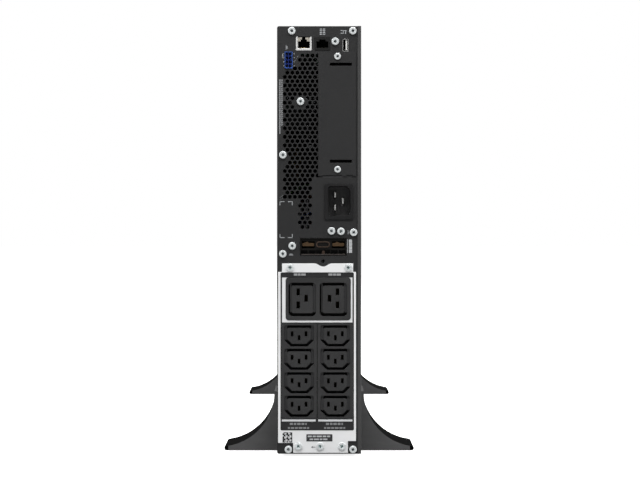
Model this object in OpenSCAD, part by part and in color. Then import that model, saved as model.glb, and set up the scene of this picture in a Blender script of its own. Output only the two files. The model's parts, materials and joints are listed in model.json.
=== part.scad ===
// A 2U online double-conversion UPS, standing on edge as a tower on two stands.
// +Z is up, -Y is the rear panel with the outlets, +Y is the front with the display.
// The origin is on the floor, under the middle of the whole object.

/* [Case] */
// Width of the case across its thin side
case_w = 85; // [84:0.5:88]
// Height of the case as it stands
case_h = 432; // [430:0.5:440]
// Depth of the sheet-metal case, from the rear panel to the front frame
case_d = 600; // [596:1:630]
// Thickness of the case's sheet metal
sheet_t = 1.2; // [1:0.1:1.5]
// Width of the lip that the side cover folds over the rear panel
lip_w = 3.6; // [3:0.1:3.6]

/* [Vent] */
// Distance between hexagonal vent holes in a row
vent_pitch_x = 5.085; // [5:0.005:5.5]
// Distance between rows of vent holes
vent_pitch_h = 4.324; // [4.2:0.002:4.6]
// Width of a vent hole across its flats
vent_hole = 3.8; // [3:0.1:3.9]

/* [Outlets] */
// Distance between neighbouring small outlets in a column
outlet_pitch = 23.7; // [23.5:0.1:24]
// Depth of the trench that a plug's skirt goes into
trench_depth = 15; // [12:1:18]
// Depth of the outlet mouldings behind the rear panel
outlet_depth = 30; // [26:1:31]

/* [Stands] */
// Width of a stand over its two tips
stand_w = 197.6; // [190:0.2:210]
// Depth of a stand, front to back
stand_d = 54; // [40:1:58]
// Height of a stand's arms
stand_h = 62; // [58:1:64]
// Distance from the rear panel to the rear stand
stand_inset = 38; // [20:1:60]
// How far the rubber pads stand below the stands
pad_proud = 0.6; // [0.4:0.1:1]

/* [Front] */
// Depth of the front bezel
bezel_d = 24; // [22:0.5:28]
// Wall of the front bezel
bezel_wall = 2.5; // [2:0.1:3]
// Side of the square display housing
display_side = 70; // [60:1:72]
// Thickness of the display housing
display_t = 9; // [8:0.5:12]
// Height of the display's turning axis above the case's underside
display_h = 388; // [387:0.5:392]
// Distance between the bezel's grille holes
grille_pitch = 10; // [9:0.5:12]

/* [Battery] */
// Length of one battery block, along the case
block_l = 101; // [95:1:101]
// Width of one battery block, across the case
block_w = 70; // [60:1:71]
// Height of one battery block
block_h = 90; // [80:1:91]

/* [Hidden] */
$fn = 48;
eps = 0.01;

// The case stands on the stands' base plates.
case_z = 3;
// How far the lowest screw heads stand behind the rear panel, and the keys before the display.
rear_proud = 2.8;
key_proud = 1;
display_gap = 0.5;
front_depth = case_d + bezel_d + display_gap + display_t + key_proud;
rear_y = rear_proud - (rear_proud + front_depth) / 2;
half_w = case_w / 2;
lip_x = half_w - lip_w;
wall_x = half_w - sheet_t;

// Panel positions are [x, height above the case's underside].
network_pos = [-15.5, 414.3];
serial_pos = [3.3, 414.3];
usb_pos = [26.6, 412.6];
terminal_pos = [-30.8, 397.7];
inlet_pos = [20.3, 255.2];
connector_pos = [4.25, 209];
bracket_hole_pos = [4.1, 194.7];
large_pos = [-0.9, 156.6];
large_socket_x = [-17.1, 14.5];
strip_x = [-20.2, 16.4];
strip_h0 = 35.8;
strip_h1 = 132.1;
strip_w = 36;
socket_h0 = 48.2;

panel_screw_pos = [
    [-27.7, 427.1], [34.1, 427.1], [16.3, 416.5], [-18.7, 355.9], [-36.5, 301.9], [12.5, 225.2],
    [22.1, 224.8], [34.9, 223.7], [-27.1, 210], [-36.6, 202], [-31, 4.6], [34.2, 4.6]
];
plate_screw_pos = [[-29.3, 188.1], [29.3, 188.1], [-21, 7.9], [22.9, 7.9], [1, 7.9]];
slot_screw_pos = [[18.65, 401.3], [18.65, 287.2]];
network_size = [15.9, 13.7];
serial_size = [15.2, 13.4];
usb_size = [5.6, 12.2];
terminal_size = [7.7, 16.7];
inlet_body = [27, 34];
connector_size = [47.3, 17.7];
large_size = [65.4, 42.8];
slot_open = [[2.5, 291.5], [34.5, 397]];
slot_cover_x = [-0.9, 37.2];
slot_cover_h = [280.5, 406.2];
panel_fit = 0.2;
port_depth = 16;
board_t = 1.6;
output_board_d = 34;

// Vent holes: the first row's height, and the zones [x0, x1, first row, last row] that hold them.
vent_top_h = 402.3;
vent_x0 = -34.6;
vent_rows = 41;
vent_columns = 7;
vent_zones = [
    [-20.5, 0, 0, 2], [-25.5, 0, 3, 3], [-36, 0, 4, 28], [-36, -8.5, 29, 33], [-20.5, -8.5, 34, 40]
];
vent_blanks = [[-18.7, 355.9, 7.2], [-36.5, 299.5, 7]];

// Inside the case, distances run forward from the rear panel.
bay_d = 136;
bay_h = 204;
fan_side = 80;
fan_d = 38;
fan_h = [248.5, 329.5];
fan_bore_r = 37.5;
rotor_r = 36.8;
fan_hub_r = 15;
fan_shaft_r = 1.5;
fan_play = 0.05;
spigot_r = 15;
spigot_wall = 3;
power_board_x = -37;
cover_screw_x = 35;
cover_screw_d = [120, 240, 360, 480];
cover_flange_w = 12;
ear_hole_r = 2;
ear_centre_d = 570;
ear_spacing = [40, 30];

// ---- helpers ----

function arc(c, r, a0, a1, n = 6) =
    [for (i = [0:n]) let (a = a0 + (a1 - a0) * i / n) c + r * [cos(a), sin(a)]];

function round_rect(w, h, r) = concat(
    arc([w / 2 - r, h / 2 - r], r, 0, 90), arc([r - w / 2, h / 2 - r], r, 90, 180),
    arc([r - w / 2, r - h / 2], r, 180, 270), arc([w / 2 - r, r - h / 2], r, 270, 360));

function reverse(v) = [for (i = [len(v) - 1:-1:0]) v[i]];

// A point at an [x, height] position and a depth from the rear panel.
function at(p, d) = [p[0], rear_y + d, case_z + p[1]];

// Extrudes a drawing of [x, height] along Y, from depth d on.
module slab(d, length) {
    translate([0, rear_y + d + length, case_z]) rotate([90, 0, 0]) linear_extrude(length) children();
}

// A box between two x, two heights and two depths.
module block(x, h, d) {
    translate([x[0], rear_y + d[0], case_z + h[0]]) cube([x[1] - x[0], d[1] - d[0], h[1] - h[0]]);
}

// A cylinder along Y.
module rod(p, d, length, r) {
    translate(at(p, d + length)) rotate([90, 0, 0]) cylinder(r = r, h = length);
}

module window(p, size, grow = 0) {
    translate(p) square([size[0] + 2 * grow, size[1] + 2 * grow], center = true);
}

// The opening for both strips of small outlets.
module strips_window(grow) {
    middle = [(strip_x[0] + strip_x[1]) / 2, (strip_h0 + strip_h1) / 2];
    window(middle, [strip_x[1] - strip_x[0] + strip_w, strip_h1 - strip_h0], grow);
}

// A panel that fills the case's section between its walls.
module inner_panel() {
    translate([0, case_h / 2]) polygon(round_rect(case_w - 2 * sheet_t, case_h - 2 * sheet_t, 0.8));
}

// A screw whose head stands on a surface at depth d, with a cross recess.
module screw(p, d, head_r, head_h, shank_r = 1.6, shank_l = 7) {
    difference() {
        union() {
            translate(at(p, d)) rotate([90, 0, 0])
                rotate_extrude() polygon(concat([[0, 0], [head_r, 0], [head_r, head_h * 0.45]],
                    arc([head_r - head_h * 0.55, head_h * 0.45], head_h * 0.55, 0, 90), [[0, head_h]]));
            rod(p, d - eps, shank_l + eps, shank_r);
        }
        for (turn = [0, 90])
            translate(at(p, d - head_h / 2 - 0.3)) rotate([0, turn, 0])
                cube([head_r * 1.1, head_h, 0.9], center = true);
    }
}

// A tube swept along points, drawn with 8 sides; up is any direction that no stretch runs along.
function unit(v) = v / norm(v);
function spline(p, n) = concat(
    [for (i = [0:len(p) - 2], s = [0:n - 1])
        let (a = p[max(i - 1, 0)], b = p[i], c = p[i + 1], e = p[min(i + 2, len(p) - 1)], t = s / n)
        0.5 * (2 * b + t * (c - a + t * (2 * a - 5 * b + 4 * c - e + t * (3 * b - a - 3 * c + e))))],
    [p[len(p) - 1]]);

module tube(points, r, up, sides = 8) {
    last = len(points) - 1;
    rings = [for (i = [0:last])
        let (t = unit(points[min(i + 1, last)] - points[max(i - 1, 0)]))
        let (u = unit(cross(t, up)), v = cross(u, t))
        for (k = [0:sides - 1]) points[i] + r * (cos(360 * k / sides) * u + sin(360 * k / sides) * v)];
    walls = [for (i = [0:last - 1], k = [0:sides - 1])
        let (a = i * sides, b = a + sides, m = (k + 1) % sides) [a + k, a + m, b + m, b + k]];
    caps = [[for (k = [sides - 1:-1:0]) k], [for (k = [0:sides - 1]) last * sides + k]];
    polyhedron(rings, concat(walls, caps));
}

module wire(p, r, up) {
    tube(spline([for (q = p) at([q[0], q[1]], q[2])], 4), r, up);
}

// ---- case ----

// The tray's section: one side wall with the top and bottom walls folded from it.
function tray_section() = concat(
    [[half_w - sheet_t, 0]], reverse(arc([2 - half_w, 2], 2, 180, 270)),
    reverse(arc([2 - half_w, case_h - 2], 2, 90, 180)),
    [[half_w - sheet_t, case_h], [half_w - sheet_t, case_h - sheet_t]],
    arc([2 - half_w, case_h - 2], 2 - sheet_t, 90, 180), arc([2 - half_w, 2], 2 - sheet_t, 180, 270),
    [[half_w - sheet_t, sheet_t]]);

module countersink(d, up) {
    outer = up ? case_h : 0;
    lift = up ? -sheet_t - eps : -eps;
    translate(at([cover_screw_x, outer + lift], d))
        cylinder(h = sheet_t + 2 * eps, r1 = up ? 1.65 : 3.05, r2 = up ? 3.05 : 1.65);
}

module case_tray() {
    color("#2b2b2c") difference() {
        slab(0, case_d) polygon(tray_section());
        for (d = cover_screw_d) {
            countersink(d, true);
            countersink(d, false);
        }
        for (x = [-1, 1], y = [-1, 1], h = [0, case_h - sheet_t])
            translate(at([x * ear_spacing[0] / 2, h - 1], ear_centre_d + y * ear_spacing[1] / 2))
                cylinder(r = ear_hole_r, h = sheet_t + 2);
    }
}

lip_corner = 3;

module side_cover() {
    color("#343435") difference() {
        union() {
            translate([0, rear_y, case_z]) linear_extrude(case_h) polygon(concat(
                arc([half_w - 1.1, 1.1 - sheet_t], 1.1, 270, 360),
                [[half_w, case_d], [half_w - sheet_t, case_d], [half_w - sheet_t, 0],
                 [lip_x, 0], [lip_x, -sheet_t]]));
            for (h = [sheet_t, case_h - 2 * sheet_t])
                block([wall_x - cover_flange_w, wall_x + eps], [h, h + sheet_t], [8, case_d - 10]);
        }
        for (d = cover_screw_d, h = [0, case_h - 4])
            translate(at([cover_screw_x, h], d)) cylinder(r = 1.65, h = 4);
        slab(-2 * sheet_t, 2 * sheet_t) difference() {
            translate([half_w - lip_corner, -1]) square(lip_corner + 1);
            translate([half_w - lip_corner, lip_corner]) circle(r = lip_corner);
        }
    }
}

module cover_screws() {
    color("#222223") for (d = cover_screw_d, up = [true, false])
        translate(at([cover_screw_x, up ? case_h : 0], d)) mirror([0, 0, up ? 1 : 0]) difference() {
            union() {
                cylinder(h = sheet_t, r1 = 3, r2 = 1.6);
                cylinder(h = 3.6, r = 1.6);
            }
            for (turn = [0, 90]) rotate([0, 0, turn]) cube([3.4, 0.7, 1.2], center = true);
        }
}

// ---- rear panel ----

function in_zone(x, row) =
    len([for (z = vent_zones) if (x > z[0] && x < z[1] && row >= z[2] && row <= z[3]) 1]) > 0;
function is_blank(x, h) = len([for (b = vent_blanks) if (norm([x - b[0], h - b[1]]) < b[2]) 1]) > 0;

module vent_holes() {
    for (row = [0:vent_rows - 1], k = [0:vent_columns - 1]) {
        x = vent_x0 + (k + (row % 2 == 0 ? 0.5 : 0)) * vent_pitch_x;
        h = vent_top_h - row * vent_pitch_h;
        if (in_zone(x, row) && !is_blank(x, h))
            translate([x, h]) rotate(30) circle(d = vent_hole / cos(30), $fn = 6);
    }
}

module rear_panel() {
    color("#333334") slab(0, sheet_t) difference() {
        inner_panel();
        vent_holes();
        window(network_pos, network_size, panel_fit);
        window(serial_pos, serial_size, panel_fit);
        window(usb_pos, usb_size, panel_fit);
        window(terminal_pos, terminal_size, panel_fit);
        window(inlet_pos, inlet_body, panel_fit);
        window(connector_pos, connector_size, panel_fit);
        window(large_pos, large_size, panel_fit);
        strips_window(panel_fit);
        translate(slot_open[0]) square(slot_open[1] - slot_open[0]);
        translate(bracket_hole_pos) circle(r = 1.85);
        for (p = concat(panel_screw_pos, plate_screw_pos)) translate(p) circle(r = 1.7);
        for (p = slot_screw_pos) translate(p) circle(r = 1.9);
    }
}

module panel_screws() {
    color("#c9cdcf") for (p = panel_screw_pos) screw(p, 0, 4, 2.2);
}

notch_w = 17.8;
notch_depth = 3.3;

// The bright plate: a wide frame round the outlets, a narrower strip above, and a tab below.
function plate_outline() = concat(
    [[-41.4, 11.2], [-26.2, 11.2], [-26.2, 1.2], [29.1, 1.2], [29.1, 13.1], [37.2, 13.1], [37.2, 183.8],
     [34.4, 183.8], [34.4, 192.4]],
    [for (i = [0:12]) let (s = 1 - i / 6)
        [bracket_hole_pos[0] + notch_w / 2 * s, 192.4 - notch_depth / 2 * (1 + cos(180 * s))]],
    [[-37.4, 192.4], [-37.4, 183.8], [-41.4, 183.8]]);

module outlet_plate() {
    color("#dcdddd") slab(-sheet_t, sheet_t) difference() {
        polygon(plate_outline());
        strips_window(panel_fit);
        translate(large_pos)
            polygon(round_rect(large_size[0] + 2 * panel_fit, large_size[1] + 2 * panel_fit, 3));
        for (p = plate_screw_pos) translate(p) circle(r = 1.7);
    }
}

module plate_screws() {
    color("#d3d6d7") for (p = plate_screw_pos) screw(p, -sheet_t, 4.2, 1.6);
}

module outlet_label() {
    label_t = 0.2;
    color("#1b1b1c") slab(-sheet_t - label_t, label_t) difference() {
        translate([-1.9, 103.6]) polygon(round_rect(74, 159.4, 1.5));
        strips_window(panel_fit);
        translate([-37.4, 132.8]) square([71.1, 45.4]);
    }
}

// ---- outlets ----

// A small outlet's outline: rounded above, cut off at the corners below.
function small_outline(w, h, c) = concat(
    arc([w / 2 - 2, h / 2 - 2], 2, 0, 90), arc([2 - w / 2, h / 2 - 2], 2, 90, 180),
    [[-w / 2, c - h / 2], [c - w / 2, -h / 2], [w / 2 - c, -h / 2], [w / 2, c - h / 2]]);

small_slots = [[-7, 2], [7, 2], [0, -2]];
small_slot_size = [2.7, 5.2];
large_slot_size = [3.4, 7];
face_proud = 1.7;

function large_slots(side) = [[-4 * side, 7.6], [-4 * side, -5.6], [4 * side, 1]];

module slots(positions, size, grow = 0) {
    for (p = positions) window(p, size, grow);
}

module outlet_strip(x) {
    color("#242425") difference() {
        slab(-face_proud, outlet_depth + face_proud)
            translate([x - strip_w / 2, strip_h0]) square([strip_w, strip_h1 - strip_h0]);
        for (i = [0:3]) {
            centre = [x, socket_h0 + i * outlet_pitch];
            slab(-face_proud - 1, trench_depth + 1) translate(centre) difference() {
                polygon(small_outline(30, 21.4, 6.4));
                polygon(small_outline(24, 16, 4.8));
            }
            slab(-face_proud - 1, outlet_depth + 4) translate(centre) slots(small_slots, small_slot_size);
        }
    }
}

module large_outlets() {
    color("#242425") difference() {
        slab(-face_proud - 0.3, outlet_depth + face_proud + 0.3)
            translate(large_pos) polygon(round_rect(large_size[0], large_size[1], 3));
        for (i = [0, 1]) {
            centre = [large_socket_x[i], large_pos[1] - 0.6];
            slab(-face_proud - 1, trench_depth + 1) translate(centre) difference() {
                polygon(round_rect(27.6, 33.8, 4));
                polygon(round_rect(21.6, 27.8, 2));
            }
            slab(-face_proud - 1, outlet_depth + 4) translate(centre)
                slots(large_slots(i == 0 ? 1 : -1), large_slot_size);
        }
    }
}

module socket_contacts() {
    contact_d = 6;
    color("#b8923f") slab(contact_d, output_board_d - contact_d) {
        for (x = strip_x, i = [0:3])
            translate([x, socket_h0 + i * outlet_pitch]) slots(small_slots, small_slot_size, -0.4);
        for (i = [0, 1]) translate([large_socket_x[i], large_pos[1] - 0.6])
            slots(large_slots(i == 0 ? 1 : -1), large_slot_size, -0.5);
    }
}

module output_board() {
    color("#1f5a35") block([-39.5, 36], [20, 182], [output_board_d, output_board_d + board_t]);
}

// ---- power inlet ----

inlet_pin_pos = [[-4.2, 6.5], [-4.2, -6.5], [3.8, 0]];
inlet_pin_size = [2, 8];
inlet_floor_d = 16;

// The recess is rounder on its earth side.
function inlet_recess(w, h, r0, r1) = concat(
    arc([w / 2 - r1, h / 2 - r1], r1, 0, 90), arc([r0 - w / 2, h / 2 - r0], r0, 90, 180),
    arc([r0 - w / 2, r0 - h / 2], r0, 180, 270), arc([w / 2 - r1, r1 - h / 2], r1, 270, 360));

module power_inlet() {
    color("#1a1a1b") difference() {
        union() {
            slab(-1.5, 1.5) translate([19.85, 254.6]) polygon(round_rect(29.1, 36.1, 1.5));
            slab(-eps, 24) window(inlet_pos, inlet_body);
        }
        slab(-2.5, inlet_floor_d + 2.5) translate(inlet_pos) polygon(inlet_recess(22.6, 30, 2.5, 5.5));
        slab(0, 30) translate(inlet_pos) slots(inlet_pin_pos, inlet_pin_size);
    }
}

module inlet_pins() {
    color("#b9bcbe") slab(2.5, 27) translate(inlet_pos) slots(inlet_pin_pos, inlet_pin_size);
}

// ---- data ports ----

// The mouth of a modular jack: a plug's body with the latch's two steps above it.
function jack_mouth() = [
    [-5.85, -4.4], [5.85, -4.4], [5.85, 2.4], [3.3, 2.4], [3.3, 4], [1.9, 4], [1.9, 5.3],
    [-1.9, 5.3], [-1.9, 4], [-3.3, 4], [-3.3, 2.4], [-5.85, 2.4]];
jack_cavity = 12.5;
shell_t = 0.4;

module network_jack_shell() {
    color("#c8c9c6") difference() {
        slab(-0.5, port_depth) window(network_pos, network_size);
        slab(-1.5, port_depth + 0.6) window(network_pos, network_size, -shell_t);
    }
}

module jack_body(p, size, d) {
    difference() {
        slab(d, port_depth - d - 1) window(p, size);
        slab(d - 1, jack_cavity + 1) translate(p) polygon(jack_mouth());
    }
}

module network_jack_insert() {
    inner_size = [network_size[0] - 2 * shell_t, network_size[1] - 2 * shell_t];
    color("#3a3a38") jack_body(network_pos, inner_size, -0.3);
}

module serial_jack() {
    color("#101011") jack_body(serial_pos, serial_size, -0.5);
}

module jack_contacts() {
    color("#c9a84a") for (p = [network_pos, serial_pos], k = [-3.5:1:3.5])
        block([p[0] + k - 0.2, p[0] + k + 0.2], [p[1] - 4.4, p[1] - 3.7], [1.5, 11]);
}

// A type A port on edge: the metal shell, and the moulding with its tongue inside.
module usb_port() {
    color("#a9abad") difference() {
        slab(-0.8, 14) window(usb_pos, usb_size);
        slab(-1.8, 14.4) window(usb_pos, usb_size, -shell_t);
    }
    color("#e4e4e0") union() {
        slab(0.6, 10) window(usb_pos + [0.9, 0], [1.8, 10.4]);
        slab(10.5, 2) window(usb_pos, [usb_size[0] - 2 * shell_t, usb_size[1] - 2 * shell_t]);
    }
}

module relay_terminal() {
    color("#2d4bb4") difference() {
        slab(-1.6, 13) window(terminal_pos, terminal_size);
        for (x = [-1, 1], k = [-1.5:1:1.5])
            slab(-2.6, 11) window(terminal_pos + [x * 1.5, k * 3.6], [1.9, 2.3]);
    }
}

module comms_board() {
    color("#1f5a35") block([-26.5, 34], [404.9, 406.5], [1.5, 74]);
}

// ---- external battery connector ----

battery_mouths = [-15.2, 15.2];

module battery_connector() {
    color("#17130f") difference() {
        slab(0.3, 24) window(connector_pos, connector_size);
        slab(-0.7, 1.8) window(connector_pos, connector_size, -1.3);
        for (x = battery_mouths) {
            slab(0, 18) window(connector_pos + [x, 1.6], [11.6, 8.6]);
            slab(17, 14) window(connector_pos + [x, 1.6], [4, 4]);
        }
        slab(0, 6) translate(connector_pos + [0, 2.6]) difference() {
            polygon(round_rect(15, 7, 3.4));
            polygon(round_rect(12.6, 4.6, 2.2));
        }
        for (x = [-3.2, 3.2]) slab(0, 14) translate(connector_pos + [x, 2.6]) circle(r = 1.1);
        for (x = battery_mouths) slab(0, 4) window(connector_pos + [x, -5], [15, 1.8]);
        slab(0, 4) translate(connector_pos + [0, -4.6]) polygon([[-3.4, -1.6], [3.4, -1.6], [0, 2]]);
    }
}

module battery_connector_contacts() {
    color("#a5683a") for (x = battery_mouths) {
        slab(7, 11) window(connector_pos + [x, 0.4], [9, 1.8]);
        slab(18, 12) window(connector_pos + [x, 1.6], [4, 4]);
    }
}

// ---- option card slot ----

module card_cage() {
    x = [3.2, 34.3];
    color("#98999b") for (h = [[284.5, 290], [398.2, 403.2]]) difference() {
        block(x, h, [10, 118]);
        block([8, 9.9], [h[0] < 350 ? h[1] - 2 : h[0] - 1, h[0] < 350 ? h[1] + 1 : h[0] + 2], [9, 119]);
    }
    color("#98999b") block(x, [284.5, 403.2], [118, 119.2]);
}

module card_connector() {
    color("#151516") difference() {
        block([5.4, 12.6], [305, 380], [106, 118]);
        block([8, 10], [308, 377], [105, 114]);
    }
}

module slot_cover() {
    color("#353536") difference() {
        slab(-sheet_t, sheet_t) difference() {
            translate([slot_cover_x[0], slot_cover_h[0]])
                square([slot_cover_x[1] - slot_cover_x[0], slot_cover_h[1] - slot_cover_h[0]]);
            for (h = [294, 391.9]) translate([10.8, h]) square([22.3, 3]);
            for (p = slot_screw_pos) translate(p) circle(r = 1.7);
            translate([3.3, slot_cover_h[0] - 1]) square([20.4, 1.9]);
            translate([27.5, slot_cover_h[0] - 1]) square([6.3, 2.2]);
            translate([-5, slot_cover_h[1] - 0.7]) square([15.5, 2]);
        }
    }
    color("#353536") for (h = [298.2, 389.2]) block([12, 32], [h, h + sheet_t], [-eps, 9]);
}

module slot_cover_screws() {
    color("#c9cdcf") for (p = slot_screw_pos) screw(p, -sheet_t, 3.6, 1.6, 1.5, 8);
}

// ---- stands ----

// A stand's outline: a concave arc runs from the arm's outer face down to the thin rounded tip.
arm_t = 3.9;
flare_r = 57.2;
flare_z = 61.7;
tip_r = 1.9;

function stand_half() =
    let (c = [half_w + arm_t + flare_r, flare_z], tip = [stand_w / 2 - tip_r, pad_proud + tip_r])
    concat([[0, pad_proud]],
        arc(tip, tip_r, -90, 72, 8),
        reverse(arc(c, flare_r, 180, 264, 20)), [[half_w + arm_t, stand_h], [0, stand_h]]);

module stand_outline() {
    polygon(concat(stand_half(), reverse([for (p = stand_half()) [-p[0], p[1]]])));
}

module stand(d) {
    color("#3f3f40") difference() {
        translate([0, 0, -case_z]) slab(d, stand_d) difference() {
            stand_outline();
            translate([-half_w - 0.1, case_z]) square([case_w + 0.2, stand_h]);
        }
        for (x = [-72, 72], y = [13, stand_d - 13])
            translate([x, rear_y + d + y, 0]) cylinder(r = 7.1, h = 1.4);
    }
}

stand_front_d = case_d - stand_d - 2;

module stand_pads() {
    color("#161616") for (d = [stand_inset, stand_front_d], x = [-72, 72], y = [13, stand_d - 13])
        translate([x, rear_y + d + y, 0]) cylinder(r = 7, h = 1.4);
}

// ---- front frame, fans ----

battery_open = [77.4, 199];
thumbscrew_pos = [[-30, 205.4], [30, 205.4]];

module front_frame() {
    color("#8f9193") slab(case_d - sheet_t, sheet_t) difference() {
        inner_panel();
        translate([-battery_open[0] / 2, 0]) square([battery_open[0], battery_open[1] + 2]);
        for (h = fan_h) translate([0, h]) circle(r = fan_bore_r - 0.5);
        translate([0, display_h]) circle(r = spigot_r + 0.05);
        for (p = thumbscrew_pos) translate(p) circle(r = 2);
        for (x = [-1, 1]) translate([x * 36, 402]) circle(r = 1.5);
    }
}

fan_rear_d = case_d - sheet_t - fan_d;

module fan_frames() {
    color("#1c1c1d") for (h = fan_h) difference() {
        union() {
            slab(fan_rear_d, fan_d) difference() {
                translate([0, h]) polygon(round_rect(fan_side, fan_side, 4));
                translate([0, h]) circle(r = fan_bore_r);
            }
            slab(fan_rear_d, 3.5) {
                translate([0, h]) circle(r = 12);
                for (turn = [45, 135])
                    translate([0, h]) rotate(turn) square([2 * fan_bore_r + 2, 4], center = true);
            }
        }
        rod([0, h], fan_rear_d - 1, 6, fan_shaft_r + fan_play);
        for (x = [-35.7, 35.7], y = [-35.7, 35.7]) rod([x, h + y], fan_rear_d - 1, fan_d + 2, 1.9);
    }
}

module fan_rotor(h) {
    blades = 7;
    blade_d = fan_rear_d + 19;
    color("#2a2a2b") union() {
        rod([0, h], fan_rear_d + 6, 26, fan_hub_r);
        rod([0, h], fan_rear_d + 0.5, 7, fan_shaft_r);
        intersection() {
            rod([0, h], fan_rear_d + 6, 26, rotor_r);
            for (k = [0:blades - 1])
                translate(at([0, h], blade_d)) rotate([0, k * 360 / blades, 0])
                    rotate([0, 0, 38]) translate([0, 0, fan_hub_r + 12]) cube([2, 28, 29], center = true);
        }
    }
}

// ---- battery bay ----

bay_socket_pos = [0, 100];
rail_h = 4.8;

module battery_bay_shelf() {
    color("#8f9193") difference() {
        union() {
            block([-wall_x, wall_x], [bay_h, bay_h + sheet_t], [bay_d, case_d - 8]);
            block([-wall_x, wall_x], [2 * sheet_t, bay_h + eps], [bay_d, bay_d + sheet_t]);
            for (x = [-28, 16]) block([x, x + 12], [sheet_t, rail_h], [bay_d, case_d - 8]);
        }
        slab(bay_d - 1, sheet_t + 2) window(bay_socket_pos, [30, 20]);
    }
}

module battery_bay_socket() {
    color("#b02a24") difference() {
        union() {
            slab(bay_d - 14, 14) window(bay_socket_pos, [36, 26]);
            slab(bay_d - eps, 3) window(bay_socket_pos, [29.6, 19.6]);
        }
        slab(bay_d - 8, 12) window(bay_socket_pos, [24, 14]);
    }
}

module battery_tray() {
    color("#9b9da0") difference() {
        union() {
            block([-38, 38], [5.2, 6.4], [145, case_d]);
            for (x = [-38, 36.8]) block([x, x + 1.2], [5.2, 196], [145, case_d]);
            block([-38, 38], [5.2, 196], [145, 146.2]);
            block([-39, 39], [3.6, 210.5], [case_d, case_d + sheet_t]);
        }
        slab(140, 8) window(bay_socket_pos, [28, 18]);
        for (p = thumbscrew_pos) rod(p, case_d - 1, 4, 2);
        for (d = [200:90:560], x = [-42, 30]) block([x, x + 12], [60, 140], [d, d + 30]);
    }
}

block_pitch = 107;
lid_d = 6;
block_d0 = 158;
block_h0 = 6.4;

module battery_blocks() {
    color("#2f3133") for (i = [0:3], j = [0:1]) {
        h = block_h0 + j * (block_h + 1);
        d = block_d0 + i * block_pitch;
        difference() {
            union() {
                block([-block_w / 2, block_w / 2], [h, h + block_h], [d, d + block_l - lid_d]);
                block([1 - block_w / 2, block_w / 2 - 1], [h + 1, h + block_h - 1],
                    [d + block_l - lid_d - eps, d + block_l]);
            }
            for (x = [-22, 22]) block([x - 5, x + 5], [h + 8, h + 16], [d + block_l - 2, d + block_l + 1]);
        }
    }
}

// The blocks' terminals, and the two leads from the plug over the top of the blocks.
module battery_leads() {
    last_d = block_d0 + 3 * block_pitch + block_l;
    color("#c7a252") for (i = [0:3], j = [0:1], x = [-22, 22]) {
        h = block_h0 + j * (block_h + 1) + 12;
        d = block_d0 + i * block_pitch + block_l;
        block([x - 3, x + 3], [h - 0.4, h + 0.4], [d - 2, d + 3.5]);
    }
    gap_d = block_d0 + block_l + (block_pitch - block_l) / 2;
    color("#b3261e") wire([[6, 103, 154.1], [8, 130, 154.1], [12, 168, 154.1], [14, 188, 155.5],
        [16, 191.5, 168], [18, 191.5, 300], [20, 191.5, 440], [22, 191.5, last_d - 8],
        [22, 188, last_d + 6], [22, 114, last_d + 6]], 1.5, [1, 0, 0]);
    color("#1a1a1b") wire([[-6, 103, 154.1], [-8, 130, 154.1], [-12, 168, 154.1], [-14, 188, 155.5],
        [-18, 191.5, 168], [-20, 191.5, 220], [-22, 191.5, gap_d - 10], [-22, 188, gap_d], [-22, 114, gap_d]],
        1.5, [1, 0, 0]);
}

module battery_plug() {
    color("#c43a30") union() {
        slab(139.5, 12.4) window(bay_socket_pos, [27, 17]);
        slab(131, 8.51) window(bay_socket_pos, [23, 13]);
    }
}

module battery_thumbscrews() {
    color("#c9cdcf") for (p = thumbscrew_pos) union() {
        rod(p, case_d + sheet_t, 9, 6);
        rod(p, case_d + sheet_t + 9 - eps, 1.5, 4.8);
        rod(p, case_d - 6, 6 + sheet_t + eps, 1.7);
    }
}

handle_h = [62, 152];
handle_grip = [case_d + sheet_t + 12, case_d + sheet_t + 15.5];

module battery_handle() {
    color("#151516") difference() {
        block([-9, 9], handle_h, [case_d + sheet_t, handle_grip[1]]);
        block([-10, 10], [handle_h[0] + 7, handle_h[1] - 7], [case_d, handle_grip[0]]);
    }
}

// ---- power electronics ----

module power_board() {
    color("#1f5a35") block([power_board_x, power_board_x + board_t], [208, 428], [128, 545]);
}

board_face = power_board_x + board_t;

module heatsinks() {
    fins = 7;
    color("#a6a8ab") for (d = [135, 275]) union() {
        block([board_face, 26], [214, 219], [d, d + 120]);
        for (k = [0:fins - 1])
            block([board_face + 4 + k * 8.4, board_face + 6.5 + k * 8.4], [219 - eps, 262], [d, d + 120]);
    }
}

module inductors() {
    color("#8a4b22") for (d = [160, 215, 270]) translate(at([board_face + 10, 300], d)) rotate([0, 90, 0])
        rotate_extrude() translate([15, 0]) circle(r = 9.9, $fn = 32);
}

module capacitors() {
    color("#26364f") for (d = [420, 455, 490], h = [235, 270, 305])
        translate(at([board_face, h], d)) rotate([0, 90, 0]) cylinder(r = 15.5, h = 52);
}

module relays() {
    color("#d8d6cf") {
        for (d = [165, 205, 245, 285]) block([board_face, board_face + 20], [340, 368], [d, d + 16]);
        for (h = [40, 80, 120])
            block([-20, 8], [h, h + 20], [output_board_d + board_t, output_board_d + board_t + 16]);
    }
}

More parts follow.
